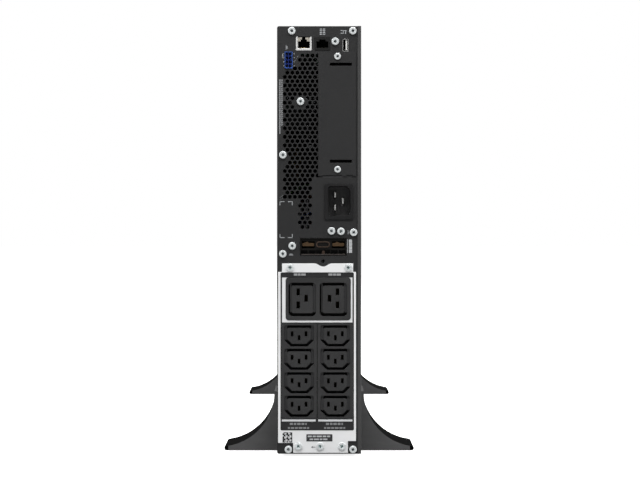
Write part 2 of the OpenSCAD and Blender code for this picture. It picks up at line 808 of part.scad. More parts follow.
module ac_wires() {
    // Inlet to power board: live, neutral and earth.
    color("#5a3a22") wire([[16.1, 261.7, 29.8], [16.1, 261.7, 42], [4, 264, 72], [-14, 260, 96],
        [-26, 242, 114], [-32, 232, 124], [-33, 228, 131.5]], 1.9, [0, 0, 1]);
    color("#2a4f9a") wire([[16.1, 248.7, 29.8], [16.1, 248.7, 42], [4, 246, 72], [-14, 242, 94],
        [-26, 230, 112], [-32, 218, 124], [-33, 213, 131.5]], 1.9, [0, 0, 1]);
    color("#4f8a3a") wire([[24.1, 255.2, 29.8], [24.1, 255.2, 42], [20, 268, 66], [2, 274, 88],
        [-16, 274, 106], [-30, 268, 122], [-33, 262, 131.5]], 1.9, [0, 0, 1]);
    // Power board to output board: live and neutral.
    color("#5a3a22") wire([[-33, 222, 131.5], [-33, 216, 118], [-30, 202, 98], [-26, 184, 74],
        [-24, 174, 50], [-24, 172, 36.2]], 1.9, [1, 0, 0]);
    color("#2a4f9a") wire([[-28, 222, 131.5], [-28, 214, 116], [-22, 200, 96], [-16, 184, 72],
        [-14, 174, 50], [-14, 172, 36.2]], 1.9, [1, 0, 0]);
}

module dc_wires() {
    // Battery bay socket to power board, and external connector to power board.
    for (side = [-1, 1]) color(side < 0 ? "#1a1a1b" : "#b3261e") {
        wire([[8 * side, 106, 121.5], [8 * side, 107, 112], [8 * side + 4, 130, 98], [8 * side + 6, 176, 98],
            [6 * side + 4, 206, 110], [6 * side + 2, 222, 131]], 2.4, [1, 0, 0]);
        wire([[connector_pos[0] + 15.2 * side, 210.6, 30.5], [connector_pos[0] + 15.2 * side, 210.6, 40],
            [10 * side + 3, 218, 70], [8 * side, 230, 100], [6 * side + 2, 238, 131]], 2.4, [1, 0, 0]);
    }
}

module display_ribbon() {
    color("#8d9094") union() {
        block([-7, 7], [424, 424.8], [74, 577]);
        block([-7, 7], [406.5, 424.8], [73.2, 74]);
        block([-7, 7], [display_h - 0.4, 424.8], [576.2, 577]);
        block([-7, 7], [display_h - 0.4, display_h + 0.4], [577 - eps, 624.6]);
    }
}

// ---- display ----

display_d = case_d + bezel_d + display_gap;
screen_size = [56, 34];
screen_lift = 12;
key_size = [9.6, 6];
key_row = -18;
key_x = [-24.2, -12.1, 0, 12.1];
power_x = 25.5;
power_r = 5.4;
key_play = 0.2;

module display_housing() {
    color("#161617") difference() {
        union() {
            slab(display_d, display_t)
                translate([0, display_h]) polygon(round_rect(display_side, display_side, 4));
            rod([0, display_h], case_d - 6, bezel_d + 7, spigot_r);
            rod([0, display_h], case_d - 6, 3.5, spigot_r + 2);
        }
        rod([0, display_h], case_d - 7, bezel_d + 8, spigot_r - spigot_wall);
        slab(display_d + display_t - 2, 3) window([0, display_h + screen_lift], screen_size, 0.1);
        for (x = key_x) slab(display_d + 3, display_t) window([x, display_h + key_row], key_size, key_play);
        rod([power_x, display_h + key_row], display_d + 3, display_t, power_r + key_play);
    }
}

module display_lens() {
    color([0.16, 0.2, 0.24, 0.9]) slab(display_d + display_t - 2, 1.8)
        window([0, display_h + screen_lift], screen_size);
}

module key(i) {
    color("#2c2c2e") slab(display_d + 5, display_t + key_proud - 5)
        window([key_x[i], display_h + key_row], key_size);
}

module power_button() {
    color("#3a3c3f") rod([power_x, display_h + key_row], display_d + 5, display_t + key_proud - 5, power_r);
}

// ---- bezel ----

grille_size = [74, 328];
grille_middle = [0, 180];
grille_margin = 5;
grille_hole = 8.2;

module grille_holes() {
    row_step = grille_pitch * sin(60);
    rows = floor((grille_size[1] - 2 * grille_margin) / row_step);
    columns = floor((grille_size[0] - 2 * grille_margin) / grille_pitch);
    for (row = [0:rows], k = [0:columns - (row % 2)])
        translate(grille_middle + [
            (k - columns / 2 + (row % 2) / 2) * grille_pitch,
            (row - rows / 2) * row_step
        ])
            rotate(30) circle(d = grille_hole / cos(30), $fn = 6);
}

module front_bezel() {
    window_side = display_side + 1;
    color("#1d1d1e") union() {
        slab(case_d + bezel_d - bezel_wall, bezel_wall) difference() {
            translate([0, case_h / 2]) polygon(round_rect(case_w, case_h, 4));
            window(grille_middle, grille_size);
            translate([0, display_h]) square(window_side, center = true);
        }
        slab(case_d + 0.2, bezel_d - bezel_wall - 0.2 + eps) difference() {
            translate([0, case_h / 2]) polygon(round_rect(case_w, case_h, 4));
            translate([0, case_h / 2])
                polygon(round_rect(case_w - 2 * bezel_wall, case_h - 2 * bezel_wall, 2));
        }
    }
}

module bezel_grille() {
    color("#232324") slab(case_d + bezel_d - bezel_wall, bezel_wall - 0.5) difference() {
        window(grille_middle, grille_size);
        grille_holes();
    }
}

case_tray();
side_cover();
cover_screws();
rear_panel();
panel_screws();
outlet_plate();
plate_screws();
outlet_label();
outlet_strip(strip_x[0]);  // outlet_strip_left
outlet_strip(strip_x[1]);  // outlet_strip_right
large_outlets();
socket_contacts();
output_board();
power_inlet();
inlet_pins();
network_jack_shell();
network_jack_insert();
serial_jack();
jack_contacts();
usb_port();
relay_terminal();
comms_board();
battery_connector();
battery_connector_contacts();
card_cage();
card_connector();
stand(stand_inset);  // stand_rear
stand(stand_front_d);  // stand_front
stand_pads();
front_frame();
fan_frames();
battery_bay_shelf();
battery_bay_socket();
power_board();
heatsinks();
inductors();
capacitors();
relays();
ac_wires();
dc_wires();
display_ribbon();
slot_cover();
slot_cover_screws();
battery_tray();
battery_blocks();
battery_leads();
battery_plug();
battery_thumbscrews();
battery_handle();
fan_rotor(fan_h[0]);  // fan_rotor_lower
fan_rotor(fan_h[1]);  // fan_rotor_upper
display_housing();
display_lens();
power_button();
key(0);  // key_escape
key(1);  // key_up
key(2);  // key_down
key(3);  // key_enter
front_bezel();
bezel_grille();
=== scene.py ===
import json
import math

import bmesh
import bpy
from mathutils import Matrix, Vector

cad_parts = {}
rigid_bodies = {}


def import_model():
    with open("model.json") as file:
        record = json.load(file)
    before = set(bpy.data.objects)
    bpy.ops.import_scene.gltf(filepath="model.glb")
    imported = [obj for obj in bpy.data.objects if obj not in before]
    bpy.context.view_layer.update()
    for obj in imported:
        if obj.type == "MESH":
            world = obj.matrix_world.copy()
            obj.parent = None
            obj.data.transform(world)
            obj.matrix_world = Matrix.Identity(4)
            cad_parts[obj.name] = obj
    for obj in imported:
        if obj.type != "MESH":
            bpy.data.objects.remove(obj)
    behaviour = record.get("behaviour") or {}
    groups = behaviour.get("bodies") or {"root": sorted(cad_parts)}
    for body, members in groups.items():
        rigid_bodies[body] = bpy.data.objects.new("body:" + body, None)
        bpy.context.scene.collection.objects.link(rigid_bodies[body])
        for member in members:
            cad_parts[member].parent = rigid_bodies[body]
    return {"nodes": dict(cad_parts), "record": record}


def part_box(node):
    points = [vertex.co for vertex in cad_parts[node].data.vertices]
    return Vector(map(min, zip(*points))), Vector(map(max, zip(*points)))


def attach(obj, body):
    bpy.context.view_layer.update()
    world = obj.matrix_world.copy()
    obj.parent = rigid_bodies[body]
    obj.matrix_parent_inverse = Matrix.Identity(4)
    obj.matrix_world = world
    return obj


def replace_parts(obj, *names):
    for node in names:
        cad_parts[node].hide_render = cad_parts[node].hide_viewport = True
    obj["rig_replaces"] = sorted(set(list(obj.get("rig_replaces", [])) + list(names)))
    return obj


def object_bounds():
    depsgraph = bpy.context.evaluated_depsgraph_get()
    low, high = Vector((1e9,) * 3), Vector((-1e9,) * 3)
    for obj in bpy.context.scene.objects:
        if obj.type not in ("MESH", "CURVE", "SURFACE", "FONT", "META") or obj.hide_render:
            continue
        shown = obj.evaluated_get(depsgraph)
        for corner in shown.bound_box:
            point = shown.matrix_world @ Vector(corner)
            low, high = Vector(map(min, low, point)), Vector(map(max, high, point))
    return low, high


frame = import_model()
cad_low, cad_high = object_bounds()
nodes = frame["nodes"]
slot_of = {name: node.data.materials[0].name for name, node in nodes.items()}
body_of = {n: body for body, members in frame["record"]["behaviour"]["bodies"].items() for n in members}

MM = 0.001
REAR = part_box("rear_panel")[0].y
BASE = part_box("case_tray")[0].z
CAMERA_DISTANCE = 1.370
CAMERA_HEIGHT = 0.2217
INK_PROUD = 0.07
INK_THICK = 0.06
FIRST_OUTLET = 12.4
OUTLET_PITCH = 23.7
POLE_OFFSET = 15.2
FAN_BLADES = 7


def at(x, h, d):
    """A point from millimetres across, above the case's underside and in from its rear panel."""
    return Vector((x * MM, REAR + d * MM, BASE + h * MM))


def in_mm(low, high):
    """A box's corners as pairs of millimetres across, up and in, as at() and bar() take them."""
    return ((low.x / MM, high.x / MM), ((low.z - BASE) / MM, (high.z - BASE) / MM),
            ((low.y - REAR) / MM, (high.y - REAR) / MM))


def extent(node):
    return in_mm(*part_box(node))


def middle_of(node):
    """A node's middle across and up, and the depth of its face towards the front, in millimetres."""
    (x0, x1), (h0, h1), (_, front) = extent(node)
    return (x0 + x1) / 2, (h0 + h1) / 2, front


def rear_face(node):
    return extent(node)[2][0]


# ---- camera, floor and lights ----

def set_camera():
    camera_data = bpy.data.cameras.new("camera")
    camera = bpy.data.objects.new("camera", camera_data)
    bpy.context.scene.collection.objects.link(camera)
    camera.location = (0, REAR - CAMERA_DISTANCE, CAMERA_HEIGHT)
    camera.rotation_euler = (math.radians(90), 0, 0)
    camera_data.lens = 76.3
    camera_data.sensor_width = 36
    camera_data.shift_x = 0.0014
    camera_data.shift_y = -0.0042
    camera_data.clip_start = 0.01
    bpy.context.scene.camera = camera
    bpy.context.scene.view_settings.view_transform = "Standard"


def softbox(name, place, aim, size, power):
    light = bpy.data.lights.new(name, "AREA")
    light.shape = "RECTANGLE"
    light.size, light.size_y = size
    light.energy = power
    lamp = bpy.data.objects.new(name, light)
    bpy.context.scene.collection.objects.link(lamp)
    lamp.location = place
    lamp.rotation_euler = (Vector(aim) - Vector(place)).to_track_quat("-Z", "Y").to_euler()


# ---- shader nodes ----

class Signal:
    """A socket's value that takes part in Python arithmetic."""

    def __init__(self, finish, socket):
        self.finish, self.socket = finish, socket

    def math(self, operation, first, second=0.0):
        return self.finish.add("ShaderNodeMath", {"operation": operation}, {0: first, 1: second})()

    def __add__(self, other): return self.math("ADD", self, other)
    def __radd__(self, other): return self.math("ADD", other, self)
    def __sub__(self, other): return self.math("SUBTRACT", self, other)
    def __rsub__(self, other): return self.math("SUBTRACT", other, self)
    def __mul__(self, other): return self.math("MULTIPLY", self, other)
    def __rmul__(self, other): return self.math("MULTIPLY", other, self)
    def __truediv__(self, other): return self.math("DIVIDE", self, other)
    def __rtruediv__(self, other): return self.math("DIVIDE", other, self)
    def __mod__(self, other): return self.math("FLOORED_MODULO", self, other)
    def __gt__(self, other): return self.math("GREATER_THAN", self, other)
    def __lt__(self, other): return self.math("LESS_THAN", self, other)
    def __abs__(self): return self.math("ABSOLUTE", self)


class Part:
    """A node; calling it gives one of its outputs."""

    def __init__(self, finish, node):
        self.finish, self.node = finish, node

    def __call__(self, output=0):
        return Signal(self.finish, self.node.outputs[output])


class Finish:
    """A procedural material on object coordinates, in metres."""

    def __init__(self, name, **fixed):
        self.material = bpy.data.materials.new(name)
        self.material.use_nodes = True
        self.tree = self.material.node_tree
        self.shader = self.tree.nodes["Principled BSDF"]
        for socket, value in fixed.items():
            self.shader.inputs[socket.replace("_", " ")].default_value = value
        self.place = self.add("ShaderNodeTexCoord")("Object")

    def add(self, kind, settings=None, inputs=None):
        node = self.tree.nodes.new(kind)
        for key, value in (settings or {}).items():
            setattr(node, key, value)
        for key, value in (inputs or {}).items():
            self.feed(node.inputs[key], value)
        return Part(self, node)

    def feed(self, socket, value):
        if isinstance(value, Signal):
            self.tree.links.new(value.socket, socket)
        else:
            socket.default_value = value

    def drive(self, **inputs):
        for socket, value in inputs.items():
            self.feed(self.shader.inputs[socket.replace("_", " ")], value)

    def stretched(self, scale):
        return self.add("ShaderNodeMapping", None, {"Vector": self.place, "Scale": scale})()

    def noise(self, scale, detail=2.0, roughness=0.5, where=None):
        return self.add("ShaderNodeTexNoise", None, {"Vector": where or self.place, "Scale": scale,
                                                     "Detail": detail, "Roughness": roughness})()

    def cells(self, scale, output=0):
        return self.add("ShaderNodeTexVoronoi", None, {"Vector": self.place, "Scale": scale})(output)

    def mix(self, factor, first, second):
        return self.add("ShaderNodeMix", {"data_type": "RGBA"}, {0: factor, 6: first, 7: second})(2)

    def between(self, value, low, high):
        return self.add("ShaderNodeMapRange", None, {0: value, 1: low, 2: high})()

    def bump(self, height, depth, strength=0.6):
        return self.add("ShaderNodeBump", None, {"Height": height, "Distance": depth,
                                                 "Strength": strength})("Normal")


def rgba(colour, gain=1.0):
    return (*[min(1, c * gain) for c in colour[:3]], 1)


def coated(name, colour, rough=0.5, grain=1500, depth=0.00006, specular=0.3, dust=0.1):
    """Powder coat: a fine orange peel, a little dust and uneven gloss."""
    f = Finish(name, Specular_IOR_Level=specular)
    peel = f.noise(grain, 3, 0.55)
    cloud = f.between(f.noise(9, 4, 0.6), 0.3, 0.7)
    speck = f.between(f.noise(2600, 2), 0.62, 0.75)
    body = f.mix(cloud, rgba(colour, 0.93), rgba(colour, 1.08))
    f.drive(Base_Color=f.mix(speck * dust, body, rgba([c + 0.12 for c in colour])),
            Roughness=rough - 0.05 + 0.1 * cloud + 0.05 * peel, Normal=f.bump(peel, depth))
    return f.material


def moulded(name, colour, rough=0.45, grain=2200, depth=0.00004, specular=0.35):
    """Moulded plastic with a spark-eroded skin and faint flow marks."""
    f = Finish(name, Specular_IOR_Level=specular)
    skin = f.cells(grain) * 0.5 + f.noise(grain * 0.7, 2) * 0.5
    flow = f.between(f.noise(1, 3, 0.5, f.stretched((30, 12, 60))), 0.3, 0.7)
    f.drive(Base_Color=f.mix(flow, rgba(colour, 0.9), rgba(colour, 1.1)),
            Roughness=rough - 0.06 + 0.12 * flow, Normal=f.bump(skin, depth))
    return f.material


def plated(name, colour, rough=0.3, stretch=(60, 1500, 1500), depth=0.00002, tarnish=0.25, metal=1.0):
    """Plated or bare metal with fine rolling lines and slight tarnish."""
    f = Finish(name, Metallic=metal)
    lines = f.noise(1, 4, 0.65, f.stretched(stretch))
    stain = f.between(f.noise(70, 4, 0.6), 0.45, 0.75) * tarnish
    dull = rgba([colour[0] * 0.62, colour[1] * 0.6, colour[2] * 0.56])
    f.drive(Base_Color=f.mix(stain, rgba(colour), dull), Roughness=rough - 0.08 + 0.16 * lines + 0.3 * stain,
            Normal=f.bump(lines, depth))
    return f.material


def spangled(name, colour):
    """Galvanised sheet: flat zinc crystals a few millimetres across."""
    f = Finish(name, Metallic=1.0)
    tone = f.add("ShaderNodeSeparateColor", None, {0: f.cells(220, "Color")})()
    fine = f.noise(1200, 3)
    f.drive(Base_Color=f.mix(tone, rgba(colour, 0.82), rgba(colour, 1.12)),
            Roughness=0.3 + 0.18 * tone + 0.06 * fine, Normal=f.bump(fine, 0.00002))
    return f.material


def rubber(name, colour):
    f = Finish(name, Specular_IOR_Level=0.2)
    skin = f.noise(900, 5, 0.7)
    bloom = f.between(f.noise(120, 3), 0.5, 0.8)
    f.drive(Base_Color=f.mix(bloom * 0.5, rgba(colour), rgba([c + 0.03 for c in colour])),
            Roughness=0.75 + 0.15 * skin, Normal=f.bump(skin, 0.00012))
    return f.material


def film(name, colour, rough=0.42):
    """Printed polyester film: smooth, with a faint ripple where it is stuck down."""
    f = Finish(name, Specular_IOR_Level=0.3)
    ripple = f.noise(60, 2)
    grain = f.noise(3000, 2)
    f.drive(Base_Color=f.mix(grain, rgba(colour, 0.94), rgba(colour, 1.06)),
            Roughness=rough - 0.04 + 0.08 * grain, Normal=f.bump(ripple, 0.00003, 0.5))
    return f.material


def circuit(name, colour, pitch=0.0026):
    """Green mask over copper tracks, with rows of soldered pads."""
    f = Finish(name, Specular_IOR_Level=0.5, Coat_Weight=0.3)
    cell = f.add("ShaderNodeVectorMath", {"operation": "SNAP"}, {0: f.place, 1: (pitch, pitch, pitch)})()
    pick = f.add("ShaderNodeTexWhiteNoise", {"noise_dimensions": "3D"}, {"Vector": cell})()
    apart = f.add("ShaderNodeSeparateXYZ", None, {0: f.place})
    lane = (apart("X") + apart("Z") * 0.5) % pitch / pitch
    track = (abs(lane - 0.5) < 0.22) * (pick > 0.4)
    pad = (f.cells(420) < 0.24) * (pick > 0.8)
    green = f.mix(track, rgba(colour, 0.7), rgba([c * 1.5 + 0.01 for c in colour]))
    f.drive(Base_Color=f.mix(pad, green, (0.6, 0.6, 0.58, 1)), Metallic=pad * 0.9,
            Roughness=0.34 + 0.1 * f.noise(400, 2), Normal=f.bump(track + pad, 0.00004))
    return f.material


def ink(name, colour, rough=0.5, worn=0.15):
    """Screen-printed ink with slightly thin places."""
    f = Finish(name, Specular_IOR_Level=0.3)
    thin = f.between(f.noise(1800, 3), 0.5, 0.75) * worn
    f.drive(Base_Color=f.mix(thin, rgba(colour), rgba(colour, 0.55)), Roughness=rough + 0.1 * thin,
            Normal=f.bump(thin, 0.00002))
    return f.material


def glowing(name, colour, strength, cell=0.0009):
    """A lit display: a fine grid of dots over an even glow."""
    f = Finish(name, Roughness=0.3, Emission_Strength=strength)
    apart = f.add("ShaderNodeSeparateXYZ", None, {0: f.place})
    grid = (apart("X") % cell > cell * 0.12) * (apart("Z") % cell > cell * 0.12)
    glow = f.mix(0.75 + 0.25 * grid, (0, 0, 0, 1), rgba(colour))
    f.drive(Base_Color=f.mix(grid, rgba(colour, 0.4), rgba(colour, 0.6)), Emission_Color=glow)
    return f.material


def made(maker, *how, **more):
    """A finish that waits for its name."""
    return lambda name: maker(name, *how, **more)


finish_makers = {
    "case_paint": made(coated, [0.0145, 0.0145, 0.015], 0.52),
    # Lighter than the case paint: painted light, for the lit strip along the side cover's rear edge.
    "cover_paint": made(coated, [0.039, 0.039, 0.0395], 0.5),
    "plate_paint": made(coated, [0.69, 0.695, 0.7], 0.5, 1800, 0.00003, 0.4, 0.03),
    "label_film": made(film, [0.016, 0.016, 0.017]),
    "zinc_screw": made(plated, [0.7, 0.73, 0.735], 0.36, (900, 900, 900), 0.00002, 0.2, 0.45),
    "black_screw": made(coated, [0.02, 0.02, 0.022], 0.35, 2500, 0.00002, 0.5, 0.05),
    "socket_plastic": made(moulded, [0.023, 0.023, 0.0235], 0.5),
    "inlet_plastic": made(moulded, [0.0085, 0.0085, 0.009], 0.5, specular=0.2),
    # A lighter copy of the inlet plastic, for its rear-facing floor inside the recess: painted light.
    "inlet_floor": made(moulded, [0.052, 0.052, 0.053], 0.5),
    "contact_brass": made(plated, [0.7, 0.5, 0.2], 0.3),
    "contact_copper": made(plated, [0.12, 0.078, 0.046], 0.45, tarnish=0.6),
    "plated_steel": made(plated, [0.78, 0.78, 0.77], 0.34, metal=0.5, tarnish=0.1),
    "jack_plastic": made(moulded, [0.01, 0.01, 0.01], 0.35),
    "jack_insert_plastic": made(moulded, [0.3, 0.28, 0.24], 0.45),
    "blue_plastic": made(moulded, [0.045, 0.11, 0.4], 0.42),
    # A darker copy of the terminal blue, for faces inside its mouths: painted shade.
    "blue_shade": made(moulded, [0.004, 0.014, 0.11], 0.5, specular=0.2),
    "connector_plastic": made(moulded, [0.0045, 0.004, 0.0035], 0.5, specular=0.15),
    "circuit_board": made(circuit, [0.007, 0.05, 0.02]),
    # Galvanised sheet darkened, for the card cage seen through the slots: painted shade.
    "dark_galvanised": made(spangled, [0.1, 0.1, 0.105]),
    "galvanised": made(spangled, [0.52, 0.53, 0.54]),
    "stand_plastic": made(moulded, [0.068, 0.068, 0.069], 0.55, 1500, 0.00006),
    "pad_rubber": made(rubber, [0.012, 0.012, 0.012]),
    "fan_plastic": made(moulded, [0.014, 0.014, 0.015], 0.45),
    "red_plastic": made(moulded, [0.5, 0.03, 0.02], 0.4),
    "heatsink_aluminium": made(plated, [0.66, 0.67, 0.68], 0.38, (1500, 40, 1500)),
    "winding_copper": made(plated, [0.1, 0.04, 0.018], 0.3),
    "capacitor_sleeve": made(moulded, [0.02, 0.035, 0.09], 0.3),
    "core_powder": made(moulded, [0.16, 0.13, 0.02], 0.5),
    "relay_plastic": made(moulded, [0.012, 0.012, 0.013], 0.4),
    "wire_insulation": made(moulded, [0.12, 0.03, 0.02], 0.35),
    "ribbon_plastic": made(moulded, [0.3, 0.31, 0.33], 0.4),
    "battery_plastic": made(moulded, [0.03, 0.032, 0.035], 0.5),
    "handle_plastic": made(moulded, [0.01, 0.01, 0.01], 0.45),
    "display_plastic": made(moulded, [0.008, 0.008, 0.008], 0.25, specular=0.5),
    "display_glass": made(film, [0.004, 0.005, 0.006], 0.08),
    "key_plastic": made(moulded, [0.03, 0.03, 0.033], 0.45),
    "bezel_plastic": made(moulded, [0.012, 0.012, 0.013], 0.5, 1500, 0.00006),
    "screw_recess": made(plated, [0.58, 0.62, 0.63], 0.5, metal=0.3),
    "pale_recess": made(plated, [0.7, 0.8, 0.8], 0.5, metal=0.2),
    # Dark blue-tinted metal for the terminal's pins: painted shade deep in its mouths.
    "dark_contact": made(plated, [0.1, 0.11, 0.16], 0.4),
    # Near black, for faces deep inside the jack and USB mouths: painted shade.
    "mouth_black": made(moulded, [0.004, 0.004, 0.004], 0.7, specular=0.1),
    # A slightly lighter copy of the socket plastic, for the raised floors beside the cores: painted light.
    "socket_floor": made(moulded, [0.026, 0.026, 0.027], 0.5),
    "wire_brown": made(moulded, [0.05, 0.016, 0.006], 0.35),
    "wire_red": made(moulded, [0.09, 0.006, 0.005], 0.35),
    "wire_blue": made(moulded, [0.01, 0.025, 0.12], 0.35),
    "wire_green": made(moulded, [0.04, 0.11, 0.02], 0.35),
    "wire_black": made(moulded, [0.012, 0.012, 0.012], 0.35),
    # Brass darkened nearly to black, for contacts inside the sockets and the serial jack: painted shade.
    "slot_brass": made(plated, [0.016, 0.013, 0.007], 0.6),
    "inlet_blade": made(plated, [0.5, 0.5, 0.49], 0.35, metal=0.5),
    "usb_white": made(moulded, [0.62, 0.62, 0.6], 0.4),
    "connector_brown": made(moulded, [0.035, 0.021, 0.014], 0.4),
    "connector_ledge": made(moulded, [0.05, 0.042, 0.038], 0.4),
    # Nearly black copies of the stand plastic for its curved top and tips: painted shade; the arms' upper
    # part is a little less dark and glossier, for their highlight.
    "stand_top": made(moulded, [0.0012, 0.0012, 0.0012], 0.8, 1500, 0.00006, 0.02),
    "stand_arm": made(moulded, [0.02, 0.02, 0.021], 0.22, 1500, 0.00002, 0.6),
}
finishes = {name: make(name) for name, make in finish_makers.items()}


# ---- modelling steps ----

def clear_selection():
    for obj in list(bpy.context.selected_objects):
        obj.select_set(False)


def only(obj):
    clear_selection()
    obj.select_set(True)
    bpy.context.view_layer.objects.active = obj


def settle(obj):
    only(obj)
    bpy.ops.object.transform_apply(location=True, rotation=True, scale=True)
    return obj


def bar(x, h, d):
    low, high = at(x[0], h[0], d[0]), at(x[1], h[1], d[1])
    clear_selection()
    bpy.ops.mesh.primitive_cube_add(size=1, location=(low + high) / 2, scale=high - low)
    return settle(bpy.context.object)


def rod(x, h, d, radius, sides=48):
    """A round bar along the depth."""
    clear_selection()
    bpy.ops.mesh.primitive_cylinder_add(vertices=sides, radius=radius * MM, depth=(d[1] - d[0]) * MM,
                                        location=at(x, h, (d[0] + d[1]) / 2),
                                        rotation=(math.radians(90), 0, 0))
    return settle(bpy.context.object)


def editing(obj, kind, test, action):
    """In edit mode, selects the faces, edges or vertices that pass the test, and acts on them."""
    only(obj)
    bpy.ops.object.mode_set(mode="EDIT")
    bpy.ops.mesh.select_mode(type=kind)
    bpy.ops.mesh.select_all(action="DESELECT")
    mesh = bmesh.from_edit_mesh(obj.data)
    for element in {"FACE": mesh.faces, "EDGE": mesh.edges, "VERT": mesh.verts}[kind]:
        element.select_set(bool(test(element)))
    mesh.select_flush_mode()
    bmesh.update_edit_mesh(obj.data)
    action()
    bpy.ops.object.mode_set(mode="OBJECT")
    return obj


def runs_along(axis):
    def test(edge):
        a, b = edge.verts
        run = (b.co - a.co).normalized()
        return abs(run[axis]) > 0.99
    return test


def faces_to(x=0, y=0, z=0):
    direction = Vector((x, y, z))
    return lambda face: face.normal.dot(direction) > 0.9


def round_edges(obj, width, segments, test):
    return editing(obj, "EDGE", test, lambda: bpy.ops.mesh.bevel(
        offset=width * MM, segments=segments, affect="EDGES", clamp_overlap=True))


def pull(obj, test, shift):
    """Extrudes the faces that pass the test by a shift in millimetres across, up and in."""
    move = Vector((shift[0], shift[2], shift[1])) * MM
    return editing(obj, "FACE", test, lambda: bpy.ops.mesh.extrude_region_move(
        TRANSFORM_OT_translate={"value": move}))


def set_in(obj, test, margin, depth=0.0):
    return editing(obj, "FACE", test, lambda: bpy.ops.mesh.inset(
        thickness=margin * MM, depth=depth * MM, use_even_offset=True))


def modify(obj, kind, **settings):
    only(obj)
    modifier = obj.modifiers.new(kind.lower(), kind)
    for key, value in settings.items():
        setattr(modifier, key, value)
    bpy.ops.object.modifier_apply(modifier=modifier.name)
    return obj


def cut(obj, *cutters):
    for cutter in cutters:
        modify(obj, "BOOLEAN", object=cutter, operation="DIFFERENCE", solver="EXACT")
        bpy.data.objects.remove(cutter)
    return obj


def soften(obj, width, segments=2, angle=35):
    return modify(obj, "BEVEL", width=width * MM, segments=segments, limit_method="ANGLE",
                  angle_limit=math.radians(angle), use_clamp_overlap=True)


def smooth(obj, angle=35):
    only(obj)
    bpy.ops.object.shade_smooth_by_angle(angle=math.radians(angle))
    return obj


def gather(*objects):
    clear_selection()
    for obj in objects:
        obj.select_set(True)
    bpy.context.view_layer.objects.active = objects[0]
    if len(objects) > 1:
        bpy.ops.object.join()
    return bpy.context.view_layer.objects.active


def copied(obj, moves):
    """A copy for each matrix, moved by it and with its own mesh, in place of the piece."""
    twins = []
    for move in moves:
        twin = obj.copy()
        twin.data = obj.data.copy()
        twin.data.transform(move)
        bpy.context.scene.collection.objects.link(twin)
        twins.append(twin)
    bpy.data.objects.remove(obj)
    return twins


def repeat(obj, shifts):
    return gather(*copied(obj, [Matrix.Translation(shift) for shift in shifts]))


def turn_about(point, angle):
    return Matrix.Translation(point) @ Matrix.Rotation(angle, 4, "Y") @ Matrix.Translation(-point)


def everything(element):
    return True


def painted(obj, finish, test=everything):
    """Adds a finish to a piece, on the faces that pass the test."""
    obj.data.materials.append(finish)
    for face in obj.data.polygons:
        if test(face):
            face.material_index = len(obj.data.materials) - 1
    return obj


def deeper(d):
    return lambda face: face.center.y > REAR + d * MM


def finished(obj, name, body, finish, instead_of=(), angle=35):
    """Names a piece, gives it its finish and fixes it to its body."""
    smooth(obj, angle)
    modify(obj, "WEIGHTED_NORMAL", keep_sharp=True, weight=100)
    obj.name = obj.data.name = name
    if finish is not None:
        obj.data.materials.clear()
        obj.data.materials.append(finish)
    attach(obj, body)
    if instead_of:
        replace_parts(obj, *instead_of)
    return obj


def solids(node):
    """The separate solids of a CAD node, as (lowest corner, highest corner) pairs."""
    mesh = bmesh.new()
    mesh.from_mesh(nodes[node].data)
    bmesh.ops.remove_doubles(mesh, verts=mesh.verts, dist=1e-6)
    left, found = set(mesh.verts), []
    while left:
        heap, group = [left.pop()], []
        while heap:
            vert = heap.pop()
            group.append(vert.co.copy())
            for edge in vert.link_edges:
                other = edge.other_vert(vert)
                if other in left:
                    left.remove(other)
                    heap.append(other)
        found.append((Vector([min(c[i] for c in group) for i in range(3)]),
                      Vector([max(c[i] for c in group) for i in range(3)])))
    mesh.free()
    return sorted(found, key=lambda pair: tuple(round(v, 6) for v in pair[0]))


def dressed(node, width, segments=2, angle=35, finish=None, name=None, shaped=None):
    """A copy of a CAD node, merged and with its edges rounded, that stands for the node.
    It may be shaped first by a function."""
    name, slot = name or node + "_shell", slot_of[node]
    obj = bpy.data.objects.new(name, nodes[node].data.copy())
    obj.data.materials.clear()
    bpy.context.scene.collection.objects.link(obj)
    editing(obj, "FACE", everything, lambda: (
        bpy.ops.mesh.remove_doubles(threshold=2e-6),
        bpy.ops.mesh.dissolve_limited(angle_limit=math.radians(0.4), use_dissolve_boundaries=False)))
    if shaped:
        shaped(obj)
    if width:
        soften(obj, width, segments, angle)
    if "custom_normal" in obj.data.attributes:
        obj.data.attributes.remove(obj.data.attributes["custom_normal"])
    return finished(obj, name, body_of[node], finishes[finish or slot], [node], angle)


# ---- screws ----

def pan_screw(head_radius, head_height, x, h, face):
    """A pan-head screw that faces the rear: domed rim, dished middle and a cross recess."""
    head = rod(x, h, (face, face + head_height), head_radius, 40)
    set_in(head, faces_to(y=-1), head_radius * 0.2)
    editing(head, "FACE", lambda f: f.normal.y < -0.9 and f.calc_area() > (head_radius * MM) ** 2,
            lambda: bpy.ops.transform.resize(value=(0.96, 1, 0.96)))
    round_edges(head, head_radius * 0.16, 4, lambda e: all(
        abs((v.co - at(x, h, face)).length - head_radius * MM) < 2e-5 for v in e.verts))
    dish = rod(x, h, (face - 0.4, face + head_height * 0.26), head_radius * 0.44, 28)
    editing(dish, "FACE", faces_to(y=1), lambda: bpy.ops.transform.resize(value=(0.62, 1, 0.62)))
    arms = [bar((x - a, x + a), (h - b, h + b), (face - 0.4, face + head_height * 0.6))
            for a, b in ((head_radius * 0.42, head_radius * 0.1), (head_radius * 0.1, head_radius * 0.42))]
    middle = at(x, h, face)

    def recessed(side):
        off = side.center - middle
        return math.hypot(off.x, off.z) < head_radius * 0.44 * MM and off.y > 0.1 * MM

    screw = painted(smooth(cut(head, dish, *arms), 30), finishes["zinc_screw"])
    return painted(screw, finishes["screw_recess"], recessed)


